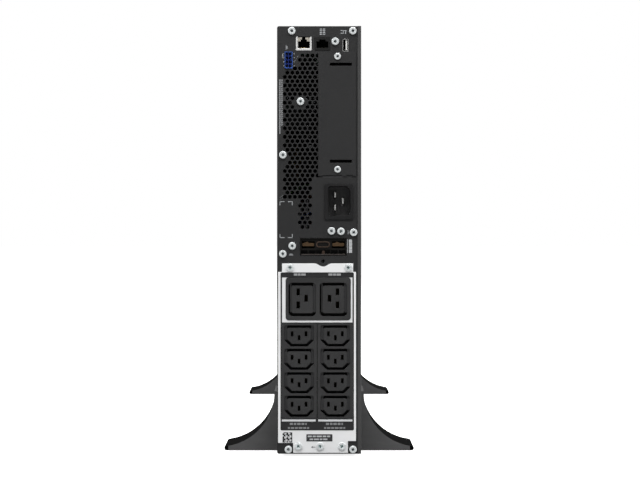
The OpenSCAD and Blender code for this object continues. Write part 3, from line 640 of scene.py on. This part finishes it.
def screw_set(node):
    """One finished screw copied to every place that the node has one, each turned another way."""
    places = solids(node)
    (x0, x1), _, (face, back) = in_mm(*places[0])
    screw = pan_screw((x1 - x0) / 2 - 0.25, back - face, 0, 0, face)
    if node == "plate_screws":
        screw.data.materials[1] = finishes["pale_recess"]
    moves = [Matrix.Translation(((low.x + high.x) / 2, 0, (low.z + high.z) / 2 - BASE))
             @ turn_about(Vector((0, 0, BASE)), math.radians(37 * i)) for i, (low, high) in enumerate(places)]
    finished(gather(*copied(screw, moves)), node + "_heads", body_of[node], None, [node], 30)


# ---- printed marks ----

def mark(x, h, face, turn=0.0, corner=0.0, behind=True):
    """A flat printed shape on a face at a depth, seen from behind or from the front."""
    centre = at((x[0] + x[1]) / 2, (h[0] + h[1]) / 2, face)
    clear_selection()
    bpy.ops.mesh.primitive_plane_add(size=1, location=centre, rotation=(
        math.radians(90 if behind else -90), math.radians(turn), 0))
    obj = bpy.context.object
    obj.scale = ((x[1] - x[0]) * MM, (h[1] - h[0]) * MM, 1)
    settle(obj)
    if corner:
        editing(obj, "VERT", everything, lambda: bpy.ops.mesh.bevel(
            offset=corner * MM, segments=3, affect="VERTICES"))
    return obj


def words(x, h, height, lengths, gap=0.7):
    """A line of plain dashes in place of print, from the left."""
    spans = []
    for length in lengths:
        spans.append(((x, x + length), (h, h + height)))
        x += length + gap
    return spans


def thicken(obj):
    return modify(obj, "SOLIDIFY", thickness=INK_THICK * MM, offset=-1.0)


def printed(name, body, finish, face, spans, turn=0.0, corner=0.0, behind=True):
    obj = thicken(gather(*(mark(x, h, face, turn, corner, behind) for x, h in spans)))
    editing(obj, "FACE", everything, lambda: bpy.ops.mesh.normals_make_consistent(inside=False))
    finished(obj, name, body, finish, angle=30)


def print_rear_panel():
    face = -INK_PROUD
    grey = ink("marking_ink", [0.3, 0.31, 0.32])
    dull = ink("marking_ink_dull", [0.12, 0.125, 0.13])
    fine = []
    for i in range(27):
        top = 378.2 - i * 2.05
        fine += [((-40.4, -39.0), (top - 1.7, top))]
        if i < 23:
            fine += [((-38.5, -37.7), (top - 1.7, top)), ((-37.4, -36.7), (top - 1.4, top))]
    printed("fine_print_column", "chassis", ink("marking_ink_fine", [0.2, 0.205, 0.21]), face, fine)
    # A light line printed under the slot cover: a painted highlight along its edge.
    edge_highlight = ink("painted_highlight_ink", [0.05, 0.05, 0.052])
    printed("slot_edge_painted_highlight", "chassis", edge_highlight, face, [((4.0, 25.2), (279.3, 280.1))])
    corners = []
    for x, run in ((-39.5, 4.6), (-27.1, -4.4)):
        for h, rise in ((254.7, -3.6), (218.4, 3.6)):
            corners += [((min(x, x + run), max(x, x + run)), (h - 0.35, h + 0.35)),
                        ((x - 0.35, x + 0.35), (min(h, h + rise), max(h, h + rise)))]
    printed("corner_marks", "chassis", grey, face, corners)
    patch = [((-39.9 + (i % 3) * 1.3, -39.1 + (i % 3) * 1.3), (256.2 + i * 0.9, 256.7 + i * 0.9))
             for i in range(6)]
    printed("corner_note", "chassis", dull, face, patch)
    port = [(x, (423.3 + i * 1.75, 424.3 + i * 1.75)) for i in range(4) for x in ((0.7, 2.9), (3.7, 6.2))]
    printed("serial_port_mark", "chassis", grey, face, port)
    link = [((21.6, 23.6), (427.2, 428.0)), ((21.6, 23.6), (424.4, 425.2)), ((25.4, 28.0), (427.0, 427.8)),
            ((26.2, 27.2), (424.0, 427.0)), ((24.0, 24.7), (424.4, 428.0))]
    printed("usb_port_mark", "chassis", grey, face, link)
    pins = []
    for i in range(4):
        row = 391.8 + i * 4.1
        pins += [((-36.1, -35.3), (row - 0.5, row + 0.5)), ((-25.6, -24.8), (row - 0.5, row + 0.5))]
    pins += [((-33.6, -33.0), (408.4, 412.8)), ((-32.5, -31.9), (409.2, 412.0)),
             ((-37.6, -35.6), (401.6, 402.2)), ((-37.2, -36.6), (399.8, 404.0))]
    printed("terminal_marks", "chassis", grey, face, pins)
    slant = [((-24.4 + i * 1.1, -23.8 + i * 1.1), (395.6 + i * 1.9, 398.6 + i * 1.9)) for i in range(3)]
    printed("terminal_contact_marks", "chassis", dull, face, slant, turn=32)
    earth = [((-30.4, -26.2), (200.5, 201.1)), ((-29.8, -26.8), (201.5, 202.1))]
    earth += [((28.6, 30.4), (222.0 + i * 1.4, 222.6 + i * 1.4)) for i in range(3)]
    printed("connector_marks", "chassis", grey, face, earth + [((28.3, 28.9), (202.6, 216.8))])
    bright = ink("marking_ink_bright", [0.42, 0.43, 0.44])
    block = [((30.1 + i * 1.1, 31.05 + i * 1.1), (203.0 + j * 3.4, 206.2 + j * 3.4))
             for i in range(3) for j in range(4)]
    printed("connector_notes", "chassis", bright, face, block)


def print_outlet_label():
    face = rear_face("outlet_label") - INK_PROUD
    pale = ink("label_ink", [0.55, 0.56, 0.57], worn=0.1)
    grey = ink("label_ink_grey", [0.2, 0.205, 0.21], worn=0.3)
    printed("outlet_rules", "chassis", pale, face, [(x, (32.9, 34.9)) for x in ((-37.6, -3.4), (-0.9, 33.6))])
    lines = []
    for x in (-29.6, 6.9):
        lines += words(x, 29.4, 2.1, (3.1, 2.6, 3.4, 2.9, 1.6), 0.9)
        lines += words(x - 1.9, 25.5, 1.7, (2.2, 3.4, 2.8, 3.9, 3.1, 2.0), 0.8)
    printed("outlet_group_notes", "chassis", grey, face, lines)
    notes = words(-25.5, 180.1, 2.1, (3.5, 2.7, 4.6), 0.6) + words(9.4, 180.1, 2.1, (4.1, 2.9, 4.3), 0.6)
    soft = ink("label_ink_soft", [0.27, 0.275, 0.28], worn=0.3)
    printed("large_outlet_notes", "chassis", soft, face, notes)


def print_outlet_plate():
    face = rear_face("outlet_plate") - INK_PROUD
    black = ink("plate_ink", [0.03, 0.03, 0.032], worn=0.3)
    cells = []
    for i in range(10):
        for j in range(10):
            edge = i in (0, 9) or j in (0, 9)
            if (i * 5 + j * 3 + i * j) % 4 < 2 or (edge and (i + j) % 3):
                cells.append(((-36.9 + i * 0.98, -36.9 + (i + 1) * 0.98),
                              (11.6 + j * 1.03, 11.6 + (j + 1) * 1.03)))
    printed("plate_pattern_mark", "chassis", black, face, cells)
    printed("plate_rating_strip", "chassis", black, face, [((-12.9, 13.5), (12.7, 20.0))], corner=0.5)
    white = ink("plate_ink_white", [0.42, 0.43, 0.44], worn=0.2)
    lines = words(-11.4, 17.1, 1.5, (4.0, 3.1, 5.2, 3.6, 3.0), 0.9)
    lines += words(-9.6, 14.2, 1.4, (3.6, 4.8, 2.7, 4.1), 0.9)
    printed("plate_rating_lines", "chassis", white, face - INK_THICK, lines)
    arrow = mark((-6.8, -3.6), (6.6, 7.3), face)
    head = mark((-8.4, -6.2), (5.8, 8.1), face)
    editing(head, "VERT", lambda v: v.co.x < at(-7.3, 0, 0).x, lambda: bpy.ops.mesh.merge(type="CENTER"))
    pale = ink("plate_ink_pale", [0.16, 0.165, 0.17])
    finished(thicken(gather(arrow, head)), "plate_arrow", "chassis", pale, angle=30)


# ---- jacks, terminal and connector ----

def make_terminal():
    """Eight-way blue terminal: raised rim, square mouths with chamfers, a pin in each."""
    (x0, x1), (h0, h1), (d0, d1) = extent("relay_terminal")
    block = bar((x0, x1), (h0, h1), (d0, d1))
    round_edges(block, 0.5, 3, runs_along(1))
    cut(block, bar((x0 + 0.5, x1 - 0.5), (h0 + 0.5, h1 - 0.5), (d0 - 1, d0 + 0.5)))
    pitch_x, pitch_h = (x1 - x0) / 2 - 0.2, (h1 - h0) / 4 - 0.15
    centres = [((x0 + x1) / 2 + (i - 0.5) * pitch_x, (h0 + h1) / 2 + (j - 1.5) * pitch_h)
               for i in range(2) for j in range(4)]
    mouths = [bar((cx - 1.5, cx + 1.5), (ch - 1.6, ch + 1.6), (d0 - 1, d0 + 5)) for cx, ch in centres]
    body = painted(soften(cut(block, *mouths), 0.14), finishes["blue_plastic"])
    # Faces deeper than the rim get the darker blue: painted shade inside the mouths.
    painted(body, finishes["blue_shade"], deeper(d0 + 0.3))
    finished(body, "relay_terminal_block", "chassis", None, ["relay_terminal"])
    pin = bar((-0.45, 0.45), (-0.45, 0.45), (d0 + 1.8, d0 + 5))
    soften(pin, 0.15)
    pins = repeat(pin, [Vector((cx * MM, 0, ch * MM)) for cx, ch in centres])
    # The pins are painted dark and blue-tinted: painted shade in the mouths.
    finished(pins, "relay_terminal_pins", "chassis", finishes["dark_contact"])


def jack_mouth(x, h, front, depth, latch):
    """The stepped mouth of a modular jack: the plug's width, with the latch's two steps above."""
    steps = [bar((x - 6.0, x + 6.0), (h - 4.3, h + 2.4), (front - 1, front + depth)),
             bar((x - 3.2, x + 3.2), (h + 2.3, h + 4.4), (front - 1, front + depth))]
    if latch:
        steps.append(bar((x - 1.7, x + 1.7), (h + 3.9, h + 9), (front - 1, front + depth)))
    return steps


def make_jack(name, shell_node, insert_node, slot, wire_finish, instead_of=()):
    """A modular jack: an insert with its contacts, in an open-topped shell where it has one."""
    (x0, x1), (h0, h1), (front, back) = extent(shell_node)
    x, h, half_w, half_h = (x0 + x1) / 2, (h0 + h1) / 2, (x1 - x0) / 2, (h1 - h0) / 2
    shelled = shell_node != insert_node
    inside = 0.6 if shelled else 0
    inner_front = front + 0.35 if shelled else front
    if shelled:
        shell = bar((x - half_w, x + half_w), (h - half_h, h + half_h), (front, back))
        round_edges(shell, 0.5, 3, runs_along(1))
        cut(shell, bar((x - half_w + 1.8, x + half_w - 1.8), (h - half_h + 2, h + half_h + 1),
                       (front - 1, back - 1)))
        finished(soften(shell, 0.18), name + "_shell", "chassis", finishes[slot_of[shell_node]],
                 [shell_node])
        half_w -= 1.85
    core = bar((x - half_w, x + half_w), (h - half_h + inside, h + half_h - inside),
               (inner_front, back - 1.2))
    cut(core, *jack_mouth(x, h - 0.2, inner_front, 12.5, shelled))
    core = painted(soften(core, 0.15), finishes[slot])
    # Faces more than 0.4 mm inside the front are painted near black: painted shade in the mouth.
    painted(core, finishes["mouth_black"], deeper(inner_front + 0.4))
    finished(core, name + "_insert", "chassis", None, [insert_node])
    wire = bar((-0.22, 0.22), (0, 0.28), (inner_front + 2.2, inner_front + 9))
    editing(wire, "FACE", faces_to(y=1), lambda: bpy.ops.transform.translate(value=(0, 0, 2.2 * MM)))
    soften(wire, 0.08)
    wires = repeat(wire, [Vector(((x - 3.55 + i * 1.015) * MM, 0, (h - 4.2) * MM)) for i in range(8)])
    finished(wires, name + "_contacts", "chassis", finishes[wire_finish], instead_of)


def make_usb():
    (x0, x1), (h0, h1), (front, back) = extent("usb_port")
    shell = bar((x0, x1), (h0, h1), (front, back))
    round_edges(shell, 0.5, 3, runs_along(1))
    cut(shell, bar((x0 + 0.28, x1 - 0.28), (h0 + 0.28, h1 - 0.28), (front - 1, back - 1)))
    painted(soften(shell, 0.1), finishes["plated_steel"])
    # The shell's inside past 0.5 mm is painted near black: painted shade in the mouth.
    painted(shell, finishes["mouth_black"], deeper(front + 0.5))
    finished(shell, "usb_shell", "chassis", None, ["usb_port"])
    tongue = bar((x0 + 3.0, x1 - 1.0), (h0 + 1.2, h1 - 1.2), (front + 0.8, back - 2))
    soften(tongue, 0.25)
    finished(tongue, "usb_tongue", "chassis", finishes["usb_white"])


def make_battery_connector():
    """A two-pole connector: housing with shrouded poles, a keyed ring between them and a ledge below."""
    (x0, x1), (h0, h1), (front, back) = extent("battery_connector")
    mid = (x0 + x1) / 2
    block = bar((x0, x1), (h0, h1), (front, back))
    cutters = [bar((x0 + 1, x1 - 1), (h0 + 1, h1 - 0.8), (front - 1, front + 1.6))]
    poles = (mid - POLE_OFFSET, mid + POLE_OFFSET)
    for cx in poles:
        cutters += [bar((cx - 6.6, cx + 6.6), (h1 - 10.2, h1 - 3.2), (front - 1, front + 17)),
                    bar((cx - 7.4, cx - 0.6), (h0 + 1.6, h0 + 5.6), (front - 1, front + 6)),
                    bar((cx + 0.6, cx + 7.4), (h0 + 1.6, h0 + 5.6), (front - 1, front + 6))]
    cutters.append(bar((mid - 7.2, mid + 7.2), (h0 + 1.8, h0 + 6.2), (front - 1, front + 5)))
    plastic = "connector_plastic"
    finished(soften(cut(block, *cutters), 0.2), "battery_connector_housing", "chassis", finishes[plastic],
             ["battery_connector"])
    ring = bar((mid - 7.2, mid + 6.6), (h1 - 9.4, h1 - 3.2), (front + 0.7, front + 3))
    round_edges(ring, 2.9, 6, runs_along(1))
    core = bar((mid - 6.1, mid + 5.5), (h1 - 8.3, h1 - 4.3), (front, front + 2.6))
    round_edges(core, 1.8, 6, runs_along(1))
    cut(ring, core, *(rod(mid + off, h1 - 6.3, (front, front + 8), 1.6, 24) for off in (-4.4, 3.8)))
    brown = finishes["connector_brown"]
    finished(soften(ring, 0.15), "battery_connector_key", "chassis", brown)
    leaves = []
    for cx in poles:
        leaf = bar((cx - 5.9, cx + 5.9), (h1 - 8.2, h1 - 4.9), (front + 1.9, front + 16))
        round_edges(leaf, 0.7, 3, runs_along(1))
        crest = rod(cx - 1.2, h1 - 5.2, (front + 2.1, front + 12), 1.6, 24)
        leaves += [soften(leaf, 0.2), soften(crest, 0.25)]
    finished(gather(*leaves), "battery_connector_leaves", "chassis", finishes["contact_copper"],
             ["battery_connector_contacts"])
    ledge = bar((x0 + 1.4, x1 - 1.4), (h0 + 0.3, h0 + 1.7), (front + 0.1, front + 2))
    lump = bar((mid - 1.3, mid + 1.5), (h0 + 1.2, h0 + 5), (front + 1.2, front + 4))
    round_edges(lump, 0.9, 3, runs_along(1))
    finished(soften(ledge, 0.15), "battery_connector_ledge", "chassis", finishes["connector_ledge"])
    finished(soften(lump, 0.2), "battery_connector_latch", "chassis", brown)


# ---- outlet pieces ----

def socket_ribs(name, node, centres, core_w, outer_w, low_h, high_h, depth, gap):
    """The raised floors beside each socket's core, with a gap left open along one side."""
    front = rear_face(node)
    ribs = []
    for near, far in ((core_w / 2 - 0.05, outer_w / 2 + 0.1), (gap - outer_w / 2, 0.05 - core_w / 2)):
        rib = bar((near, far), (low_h, high_h), (front + depth, front + 12))
        round_edges(rib, 0.5, 3, runs_along(1))
        ribs.append(soften(rib, 0.2))
    ribs = repeat(gather(*ribs), [Vector((cx * MM, 0, ch * MM)) for cx, ch in centres])
    # The floors get the slightly lighter socket plastic: painted light.
    finished(ribs, name, "chassis", finishes["socket_floor"])


def make_outlets():
    for side in ("left", "right"):
        node = "outlet_strip_" + side
        x, first = middle_of(node)[0], extent(node)[1][0] + FIRST_OUTLET
        dressed(node, 0.25)
        centres = [(x, first + OUTLET_PITCH * i) for i in range(4)]
        socket_ribs(node + "_ribs", node, centres, 24, 30, -4.2, 10.6, 1.9, 0)
    dressed("large_outlets", 0.3)
    socket_ribs("large_outlet_ribs", "large_outlets", [(-17.1, 156), (14.5, 156)],
                21.6, 27.6, -13, 16.2, 1.9, 1.5)
    # The card cage gets the darkened galvanised finish: painted shade behind the slots.
    dressed("card_cage", 0.15, finish="dark_galvanised")
    # The socket contacts get near-black brass: painted shade inside the sockets.
    dressed("socket_contacts", 0.1, finish="slot_brass")
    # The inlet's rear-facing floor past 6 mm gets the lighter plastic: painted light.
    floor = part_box("power_inlet")[0].y + 6 * MM
    painted(dressed("power_inlet", 0.3), finishes["inlet_floor"],
            lambda face: face.normal.y < -0.9 and face.center.y > floor)
    blades = []
    for low, high in solids("inlet_pins"):
        across, (h0, h1), (d0, d1) = in_mm(low, high)
        blade = bar(across, (h0 + 0.9, h1 - 0.9), (d0 + 2.4, d1))
        pull(blade, faces_to(y=-1), (0, 0, -2.4))
        editing(blade, "FACE", faces_to(y=-1), lambda: bpy.ops.transform.resize(value=(0.5, 1, 0.75)))
        blades.append(soften(blade, 0.25))
    finished(gather(*blades), "inlet_blades", "chassis", finishes["inlet_blade"],
             ["inlet_pins"])


# ---- parts of the power board ----

def make_inductors():
    """Ring cores with a winding of thick turns that lean on each other at the bore."""
    cores, turns = [], []
    for low, high in solids("inductors"):
        middle, minor = (low + high) / 2, (high.x - low.x) / 2
        major = (high.y - low.y) / 2 - minor
        clear_selection()
        bpy.ops.mesh.primitive_torus_add(
            major_radius=major, minor_radius=minor - 1.5 * MM, major_segments=48, minor_segments=20,
            location=middle, rotation=(0, math.radians(90), 0))
        cores.append(settle(bpy.context.object))
        for i in range(30):
            angle = math.radians(18 + i * 324 / 29)
            place = middle + Vector((0, major * math.cos(angle), major * math.sin(angle)))
            clear_selection()
            bpy.ops.mesh.primitive_torus_add(
                major_radius=minor - 0.8 * MM, minor_radius=0.75 * MM, major_segments=20, minor_segments=6,
                location=place, rotation=(angle + math.radians(4), 0, 0))
            turns.append(settle(bpy.context.object))
    copper = "winding_copper"
    finished(gather(*cores), "inductor_cores", "chassis", finishes["core_powder"], ["inductors"])
    finished(gather(*turns), "inductor_windings", "chassis", finishes[copper])


def scored_ends(obj):
    """Sunk tops on the capacitor cans, inside their rolled rims."""
    set_in(obj, lambda f: abs(f.normal.x) > 0.99, 1.6, -0.7)


# ---- stands ----

def make_stand(node):
    """The stand with rounded tips and edges: satin end faces, and painted shade, nearly black and matt, on
    its curved top and tips; on the arms' upper part the painted shade is less dark and glossier, for their
    highlight.
    """
    (_, x1), _, d = extent(node)

    def round_tips(obj):
        rounded = bar((-x1, x1), (-10, 70), d)
        round_edges(rounded, 4.5, 6, runs_along(2))
        modify(obj, "BOOLEAN", object=rounded, operation="INTERSECT", solver="EXACT")
        bpy.data.objects.remove(rounded)

    # The faces that get the painted shade: the curved top and the rounded tips.
    def skin(face):
        tip = abs(face.center.x) > (x1 - 5.5) * MM and face.center.z > 1.2 * MM
        return tip or abs(face.normal.y) <= 0.75

    obj = painted(dressed(node, 0.8, 3, 40, shaped=round_tips), finishes["stand_top"], skin)
    painted(obj, finishes["stand_arm"], lambda face: skin(face) and face.center.z > BASE + 44 * MM)


# ---- front pieces ----

def make_thumbscrews():
    """Knurled thumbscrews with a driver slot."""
    places = solids("battery_thumbscrews")
    (x0, x1), _, (back, front) = in_mm(*places[0])
    radius = (x1 - x0) / 2
    grip = rod(0, 0, (front - 10, front - 1.5), radius, 48)
    editing(grip, "VERT", lambda v: round(math.degrees(math.atan2(v.co.x, v.co.z - BASE)) / 7.5) % 2,
            lambda: bpy.ops.transform.resize(value=(0.94, 1, 0.94)))
    crown = rod(0, 0, (front - 1.6, front), radius * 0.8, 40)
    cut(crown, bar((-radius, radius), (-0.7, 0.7), (front - 1.2, front + 1)))
    shank = rod(0, 0, (back, front - 9.9), 1.7, 24)
    collar = rod(0, 0, (front - 10.5, front - 9.6), radius * 0.72, 40)
    whole = gather(soften(grip, 0.25), soften(crown, 0.3), soften(shank, 0.3),
                   soften(collar, 0.2))
    shifts = [Vector(((a.x + b.x) / 2, 0, (a.z + b.z) / 2 - BASE)) for a, b in places]
    finished(repeat(whole, shifts), "thumbscrews_knurled", "battery_module", finishes["zinc_screw"],
             ["battery_thumbscrews"])


def make_handle():
    """The module's pull: rounded bridge with finger ribs inside its grip."""
    dressed("battery_handle", 1.3, 4, 40)
    _, middle, front = middle_of("battery_handle")
    rib = soften(bar((-8, 8), (-0.6, 0.6), (front - 0.2, front)), 0.15)
    ribs = repeat(rib, [Vector((0, -0.05, middle + (i - 4.5) * 4.2)) * MM for i in range(10)])
    finished(ribs, "battery_handle_ribs", "battery_module", finishes["handle_plastic"])


def make_rotor(level):
    """A fan rotor: domed hub with a rim, and seven swept and twisted blades."""
    node, body = "fan_rotor_" + level, "fan_" + level
    (x, h, front), back = middle_of(node), rear_face(node)
    reach, hub = 36.6, 15.0
    rotor = rod(x, h, (back + 5.5, front), hub, 64)
    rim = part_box(node)[1].y - 1e-5
    round_edges(rotor, 1.6, 4, lambda e: all(v.co.y > rim for v in e.verts))
    set_in(rotor, lambda f: f.normal.y > 0.99 and f.calc_area() > 3e-4, 3.2, -0.7)
    shaft = rod(x, h, (back, back + 6), 3.0, 24)
    blade = bar((x - 9.5, x + 9.5), (h + hub - 1, h + hub + 0.6), (back + 15.4, back + 17.2))
    centre = at(x, h, 0)
    steps = 7
    rise = (reach - hub - 1.9) / steps

    def sweep():
        for step in range(steps):
            bpy.ops.mesh.extrude_region_move(TRANSFORM_OT_translate={"value": (0.0, 0.0, rise * MM)})
            bpy.ops.transform.rotate(value=math.radians(3.2), orient_axis="Y", center_override=centre)
            bpy.ops.transform.resize(value=(1.035, 1.0, 1.0))
            bpy.ops.transform.rotate(value=math.radians(1.6), orient_axis="Z",
                                     center_override=at(x, h + hub + rise * step, back + 16.3))

    editing(blade, "VERT", everything, lambda: bpy.ops.transform.rotate(
        value=math.radians(-34), orient_axis="Z", center_override=at(x, h + hub, back + 16.3)))
    editing(blade, "FACE", faces_to(z=1), sweep)
    turns = [turn_about(centre, math.tau * i / FAN_BLADES) for i in range(FAN_BLADES)]
    blades = copied(soften(blade, 0.35), turns)
    finished(gather(soften(rotor, 0.3), soften(shaft, 0.3), *blades), body + "_blades", body,
             finishes["fan_plastic"], [node])
    disc = rod(x, h, (front - 0.72, front - 0.6), hub - 4.4, 48)
    finished(soften(disc, 0.04), body + "_disc", body, finishes["zinc_screw"])


def make_display():
    """Glass, its lit figures and the printed key symbols."""
    (x0, x1), (h0, h1), (_, face) = extent("display_lens")
    face += INK_PROUD
    dressed("display_housing", 0.6, 3)
    dressed("display_lens", 0.25)
    lit = glowing("display_glow", [0.35, 0.62, 1.0], 0.9)
    fresh = glowing("display_glow_green", [0.3, 0.9, 0.45], 0.9)
    w, t = x1 - x0, h1 - h0
    left, top = x0 + w * 0.08, h1 - t * 0.16
    rows = [((left, left + w * 0.84), (h, h + 0.5)) for h in (top - 0.5, h0 + t * 0.2)]
    rows += [((left, left + length * w), (h, h + 1.5)) for length, h in (
        (0.3, top - t * 0.19), (0.22, top - t * 0.34), (0.27, top - t * 0.49))]
    rows += words(left, h0 + t * 0.07, 1.5, (4.5, 6.0, 3.2, 5.0), 1.4)
    printed("display_figures", "display", lit, face, rows, behind=False)
    cell_x, cell_h = x0 + w * 0.56, h0 + t * 0.34
    right, high = cell_x + w * 0.32, cell_h + t * 0.36
    outline = [((cell_x, right), (high - 0.6, high)), ((cell_x, right), (cell_h, cell_h + 0.6)),
               ((cell_x, cell_x + 0.6), (cell_h + 0.6, high - 0.6)),
               ((right - 0.6, right), (cell_h + 0.6, high - 0.6)),
               ((cell_x + w * 0.33, cell_x + w * 0.35), (cell_h + t * 0.11, cell_h + t * 0.25))]
    bars = [((cell_x + 1.6 + i * 2.5, cell_x + 3.4 + i * 2.5), (cell_h + 1.6, high - 1.6)) for i in range(5)]
    printed("display_charge_bars", "display", fresh, face, outline + bars, behind=False)
    pale = ink("key_ink", [0.5, 0.5, 0.5])
    shapes = {"key_escape": [((-1.6, 1.6), (-0.3, 0.3))], "key_up": None, "key_down": None,
              "key_enter": [((-1.4, 1.2), (-0.35, 0.25)), ((0.8, 1.3), (-0.3, 1.2))]}
    for node, spans in shapes.items():
        cx, ch, key_face = middle_of(node)
        key_face += INK_PROUD
        dressed(node, 0.5, 3)
        if spans:
            printed(node + "_symbol", node, pale, key_face,
                    [((cx + p[0], cx + p[1]), (ch + q[0], ch + q[1])) for p, q in spans], behind=False)
            continue
        sign = 1 if node == "key_up" else -1
        arrow = mark((cx - 1.3, cx + 1.3), (ch - 0.9, ch + 0.9), key_face, behind=False)
        tip = at(cx, ch, 0).z
        editing(arrow, "VERT", lambda v: (v.co.z - tip) * sign > 0, lambda: bpy.ops.mesh.merge(type="CENTER"))
        finished(thicken(arrow), node + "_symbol", node, pale)
    cx, ch, button_face = middle_of("power_button")
    dressed("power_button", 0.5, 3)
    ring = rod(cx, ch, (button_face - 0.3, button_face + 0.05), 2.0, 40)
    cut(ring, rod(cx, ch, (button_face - 1, button_face + 1), 1.5, 40),
        bar((cx - 0.6, cx + 0.6), (ch + 0.8, ch + 3), (button_face - 1, button_face + 1)))
    line = bar((cx - 0.22, cx + 0.22), (ch + 0.4, ch + 2.2), (button_face - 0.3, button_face + 0.05))
    finished(gather(ring, line), "power_symbol", "power_button", fresh)


def colour_wires(node, colours):
    """Gives each separate wire of a node its own insulation colour."""
    obj = dressed(node, 0.0)
    editing(obj, "FACE", everything, lambda: bpy.ops.mesh.separate(type="LOOSE"))
    parts = sorted(bpy.context.selected_objects,
                   key=lambda o: tuple(round(c, 5) for c in o.data.vertices[0].co))
    for i, part in enumerate(parts):
        part.data.materials.clear()
        part.data.materials.append(finishes[colours[i % len(colours)]])
    gather(obj, *(part for part in parts if part is not obj))


# ---- carried-over solids with rounded edges ----

edge_widths = {
    "case_tray": 0.5, "side_cover": 0.5, "rear_panel": 0.2, "outlet_plate": 0.25, "outlet_label": 0.0,
    "slot_cover": 0.3, "front_bezel": 0.8, "front_frame": 0.25, "fan_frames": 0.3, "battery_tray": 0.25,
}


def dress_remaining():
    done = {node for obj in bpy.data.objects for node in obj.get("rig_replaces", [])}
    for node in nodes:
        if node in done:
            continue
        width = edge_widths.get(node, 0.15)
        if width:
            dressed(node, width)
        else:
            nodes[node].data.materials[0] = finishes[slot_of[node]]


set_camera()
for node in ("panel_screws", "plate_screws", "slot_cover_screws"):
    screw_set(node)
print_rear_panel()
print_outlet_label()
print_outlet_plate()
make_terminal()
make_jack("network_jack", "network_jack_shell", "network_jack_insert", "jack_insert_plastic",
          "contact_brass", ["jack_contacts"])
# The serial jack's contacts get near-black brass: painted shade inside its mouth.
make_jack("serial_jack", "serial_jack", "serial_jack", "jack_plastic", "slot_brass")
make_usb()
make_battery_connector()
make_outlets()
make_inductors()
dressed("capacitors", 0.3, name="capacitor_cans", shaped=scored_ends)
for node in ("stand_rear", "stand_front"):
    make_stand(node)
make_thumbscrews()
make_handle()
for level in ("lower", "upper"):
    make_rotor(level)
make_display()
colour_wires("ac_wires", ("wire_brown", "wire_blue", "wire_green"))
colour_wires("dc_wires", ("wire_red", "wire_black"))
colour_wires("battery_leads", ("red_plastic", "wire_black"))
dress_remaining()


# ---- stage ----

def set_stage():
    clear_selection()
    bpy.ops.mesh.primitive_plane_add(size=60, location=(0, 0, cad_low.z))
    floor = settle(bpy.context.object)
    floor.name = "floor"
    pale = Finish("pale_floor", Roughness=0.9, Specular_IOR_Level=0.0, Emission_Strength=0.87)
    tone = pale.mix(pale.noise(3, 3), (0.94, 0.94, 0.94, 1), (0.98, 0.98, 0.98, 1))
    pale.drive(Base_Color=tone, Emission_Color=tone)
    seen = pale.add("ShaderNodeLightPath")("Is Camera Ray")
    dim = pale.add("ShaderNodeBsdfDiffuse", None, {"Color": (0.3, 0.3, 0.3, 1)})()
    lit = Signal(pale, pale.shader.outputs[0])
    blend = pale.add("ShaderNodeMixShader", None, {0: seen, 1: dim, 2: lit})()
    pale.tree.links.new(blend.socket, pale.tree.nodes["Material Output"].inputs["Surface"])
    floor.data.materials.append(pale.material)

    world = bpy.data.worlds.new("studio")
    bpy.context.scene.world = world
    world.use_nodes = True
    tree = world.node_tree
    backdrop = tree.nodes["Background"]
    backdrop.inputs["Color"].default_value = (1, 1, 1, 1)
    backdrop.inputs["Strength"].default_value = 1.0
    surround = tree.nodes.new("ShaderNodeBackground")
    surround.inputs["Color"].default_value = (1, 1, 1, 1)
    surround.inputs["Strength"].default_value = 0.22
    ray = tree.nodes.new("ShaderNodeLightPath")
    blend = tree.nodes.new("ShaderNodeMixShader")
    tree.links.new(ray.outputs["Is Camera Ray"], blend.inputs[0])
    tree.links.new(surround.outputs[0], blend.inputs[1])
    tree.links.new(backdrop.outputs[0], blend.inputs[2])
    tree.links.new(blend.outputs[0], tree.nodes["World Output"].inputs["Surface"])

    softbox("overhead", (0, 0, 2.6), (0, 0, 0), (4, 4), 90)
    softbox("rear_key", (0, REAR - 1.5, 2.3), (0, REAR, 0.15), (2.6, 0.8), 62)
    softbox("rear_left", (-1.7, REAR - 0.7, 0.9), (0, REAR, 0.2), (0.8, 1.6), 9)
    softbox("rear_right", (1.7, REAR - 0.7, 0.9), (0, REAR, 0.2), (0.8, 1.6), 9)
    softbox("front_key", (0, 2.0, 2.3), (0, 0.3, 0.15), (2.6, 0.8), 62)
    softbox("side_left", (-2.4, 0.3, 1.4), (0, 0, 0.2), (1.6, 1.2), 30)
    softbox("side_right", (2.4, 0.3, 1.4), (0, 0, 0.2), (1.6, 1.2), 30)


set_stage()
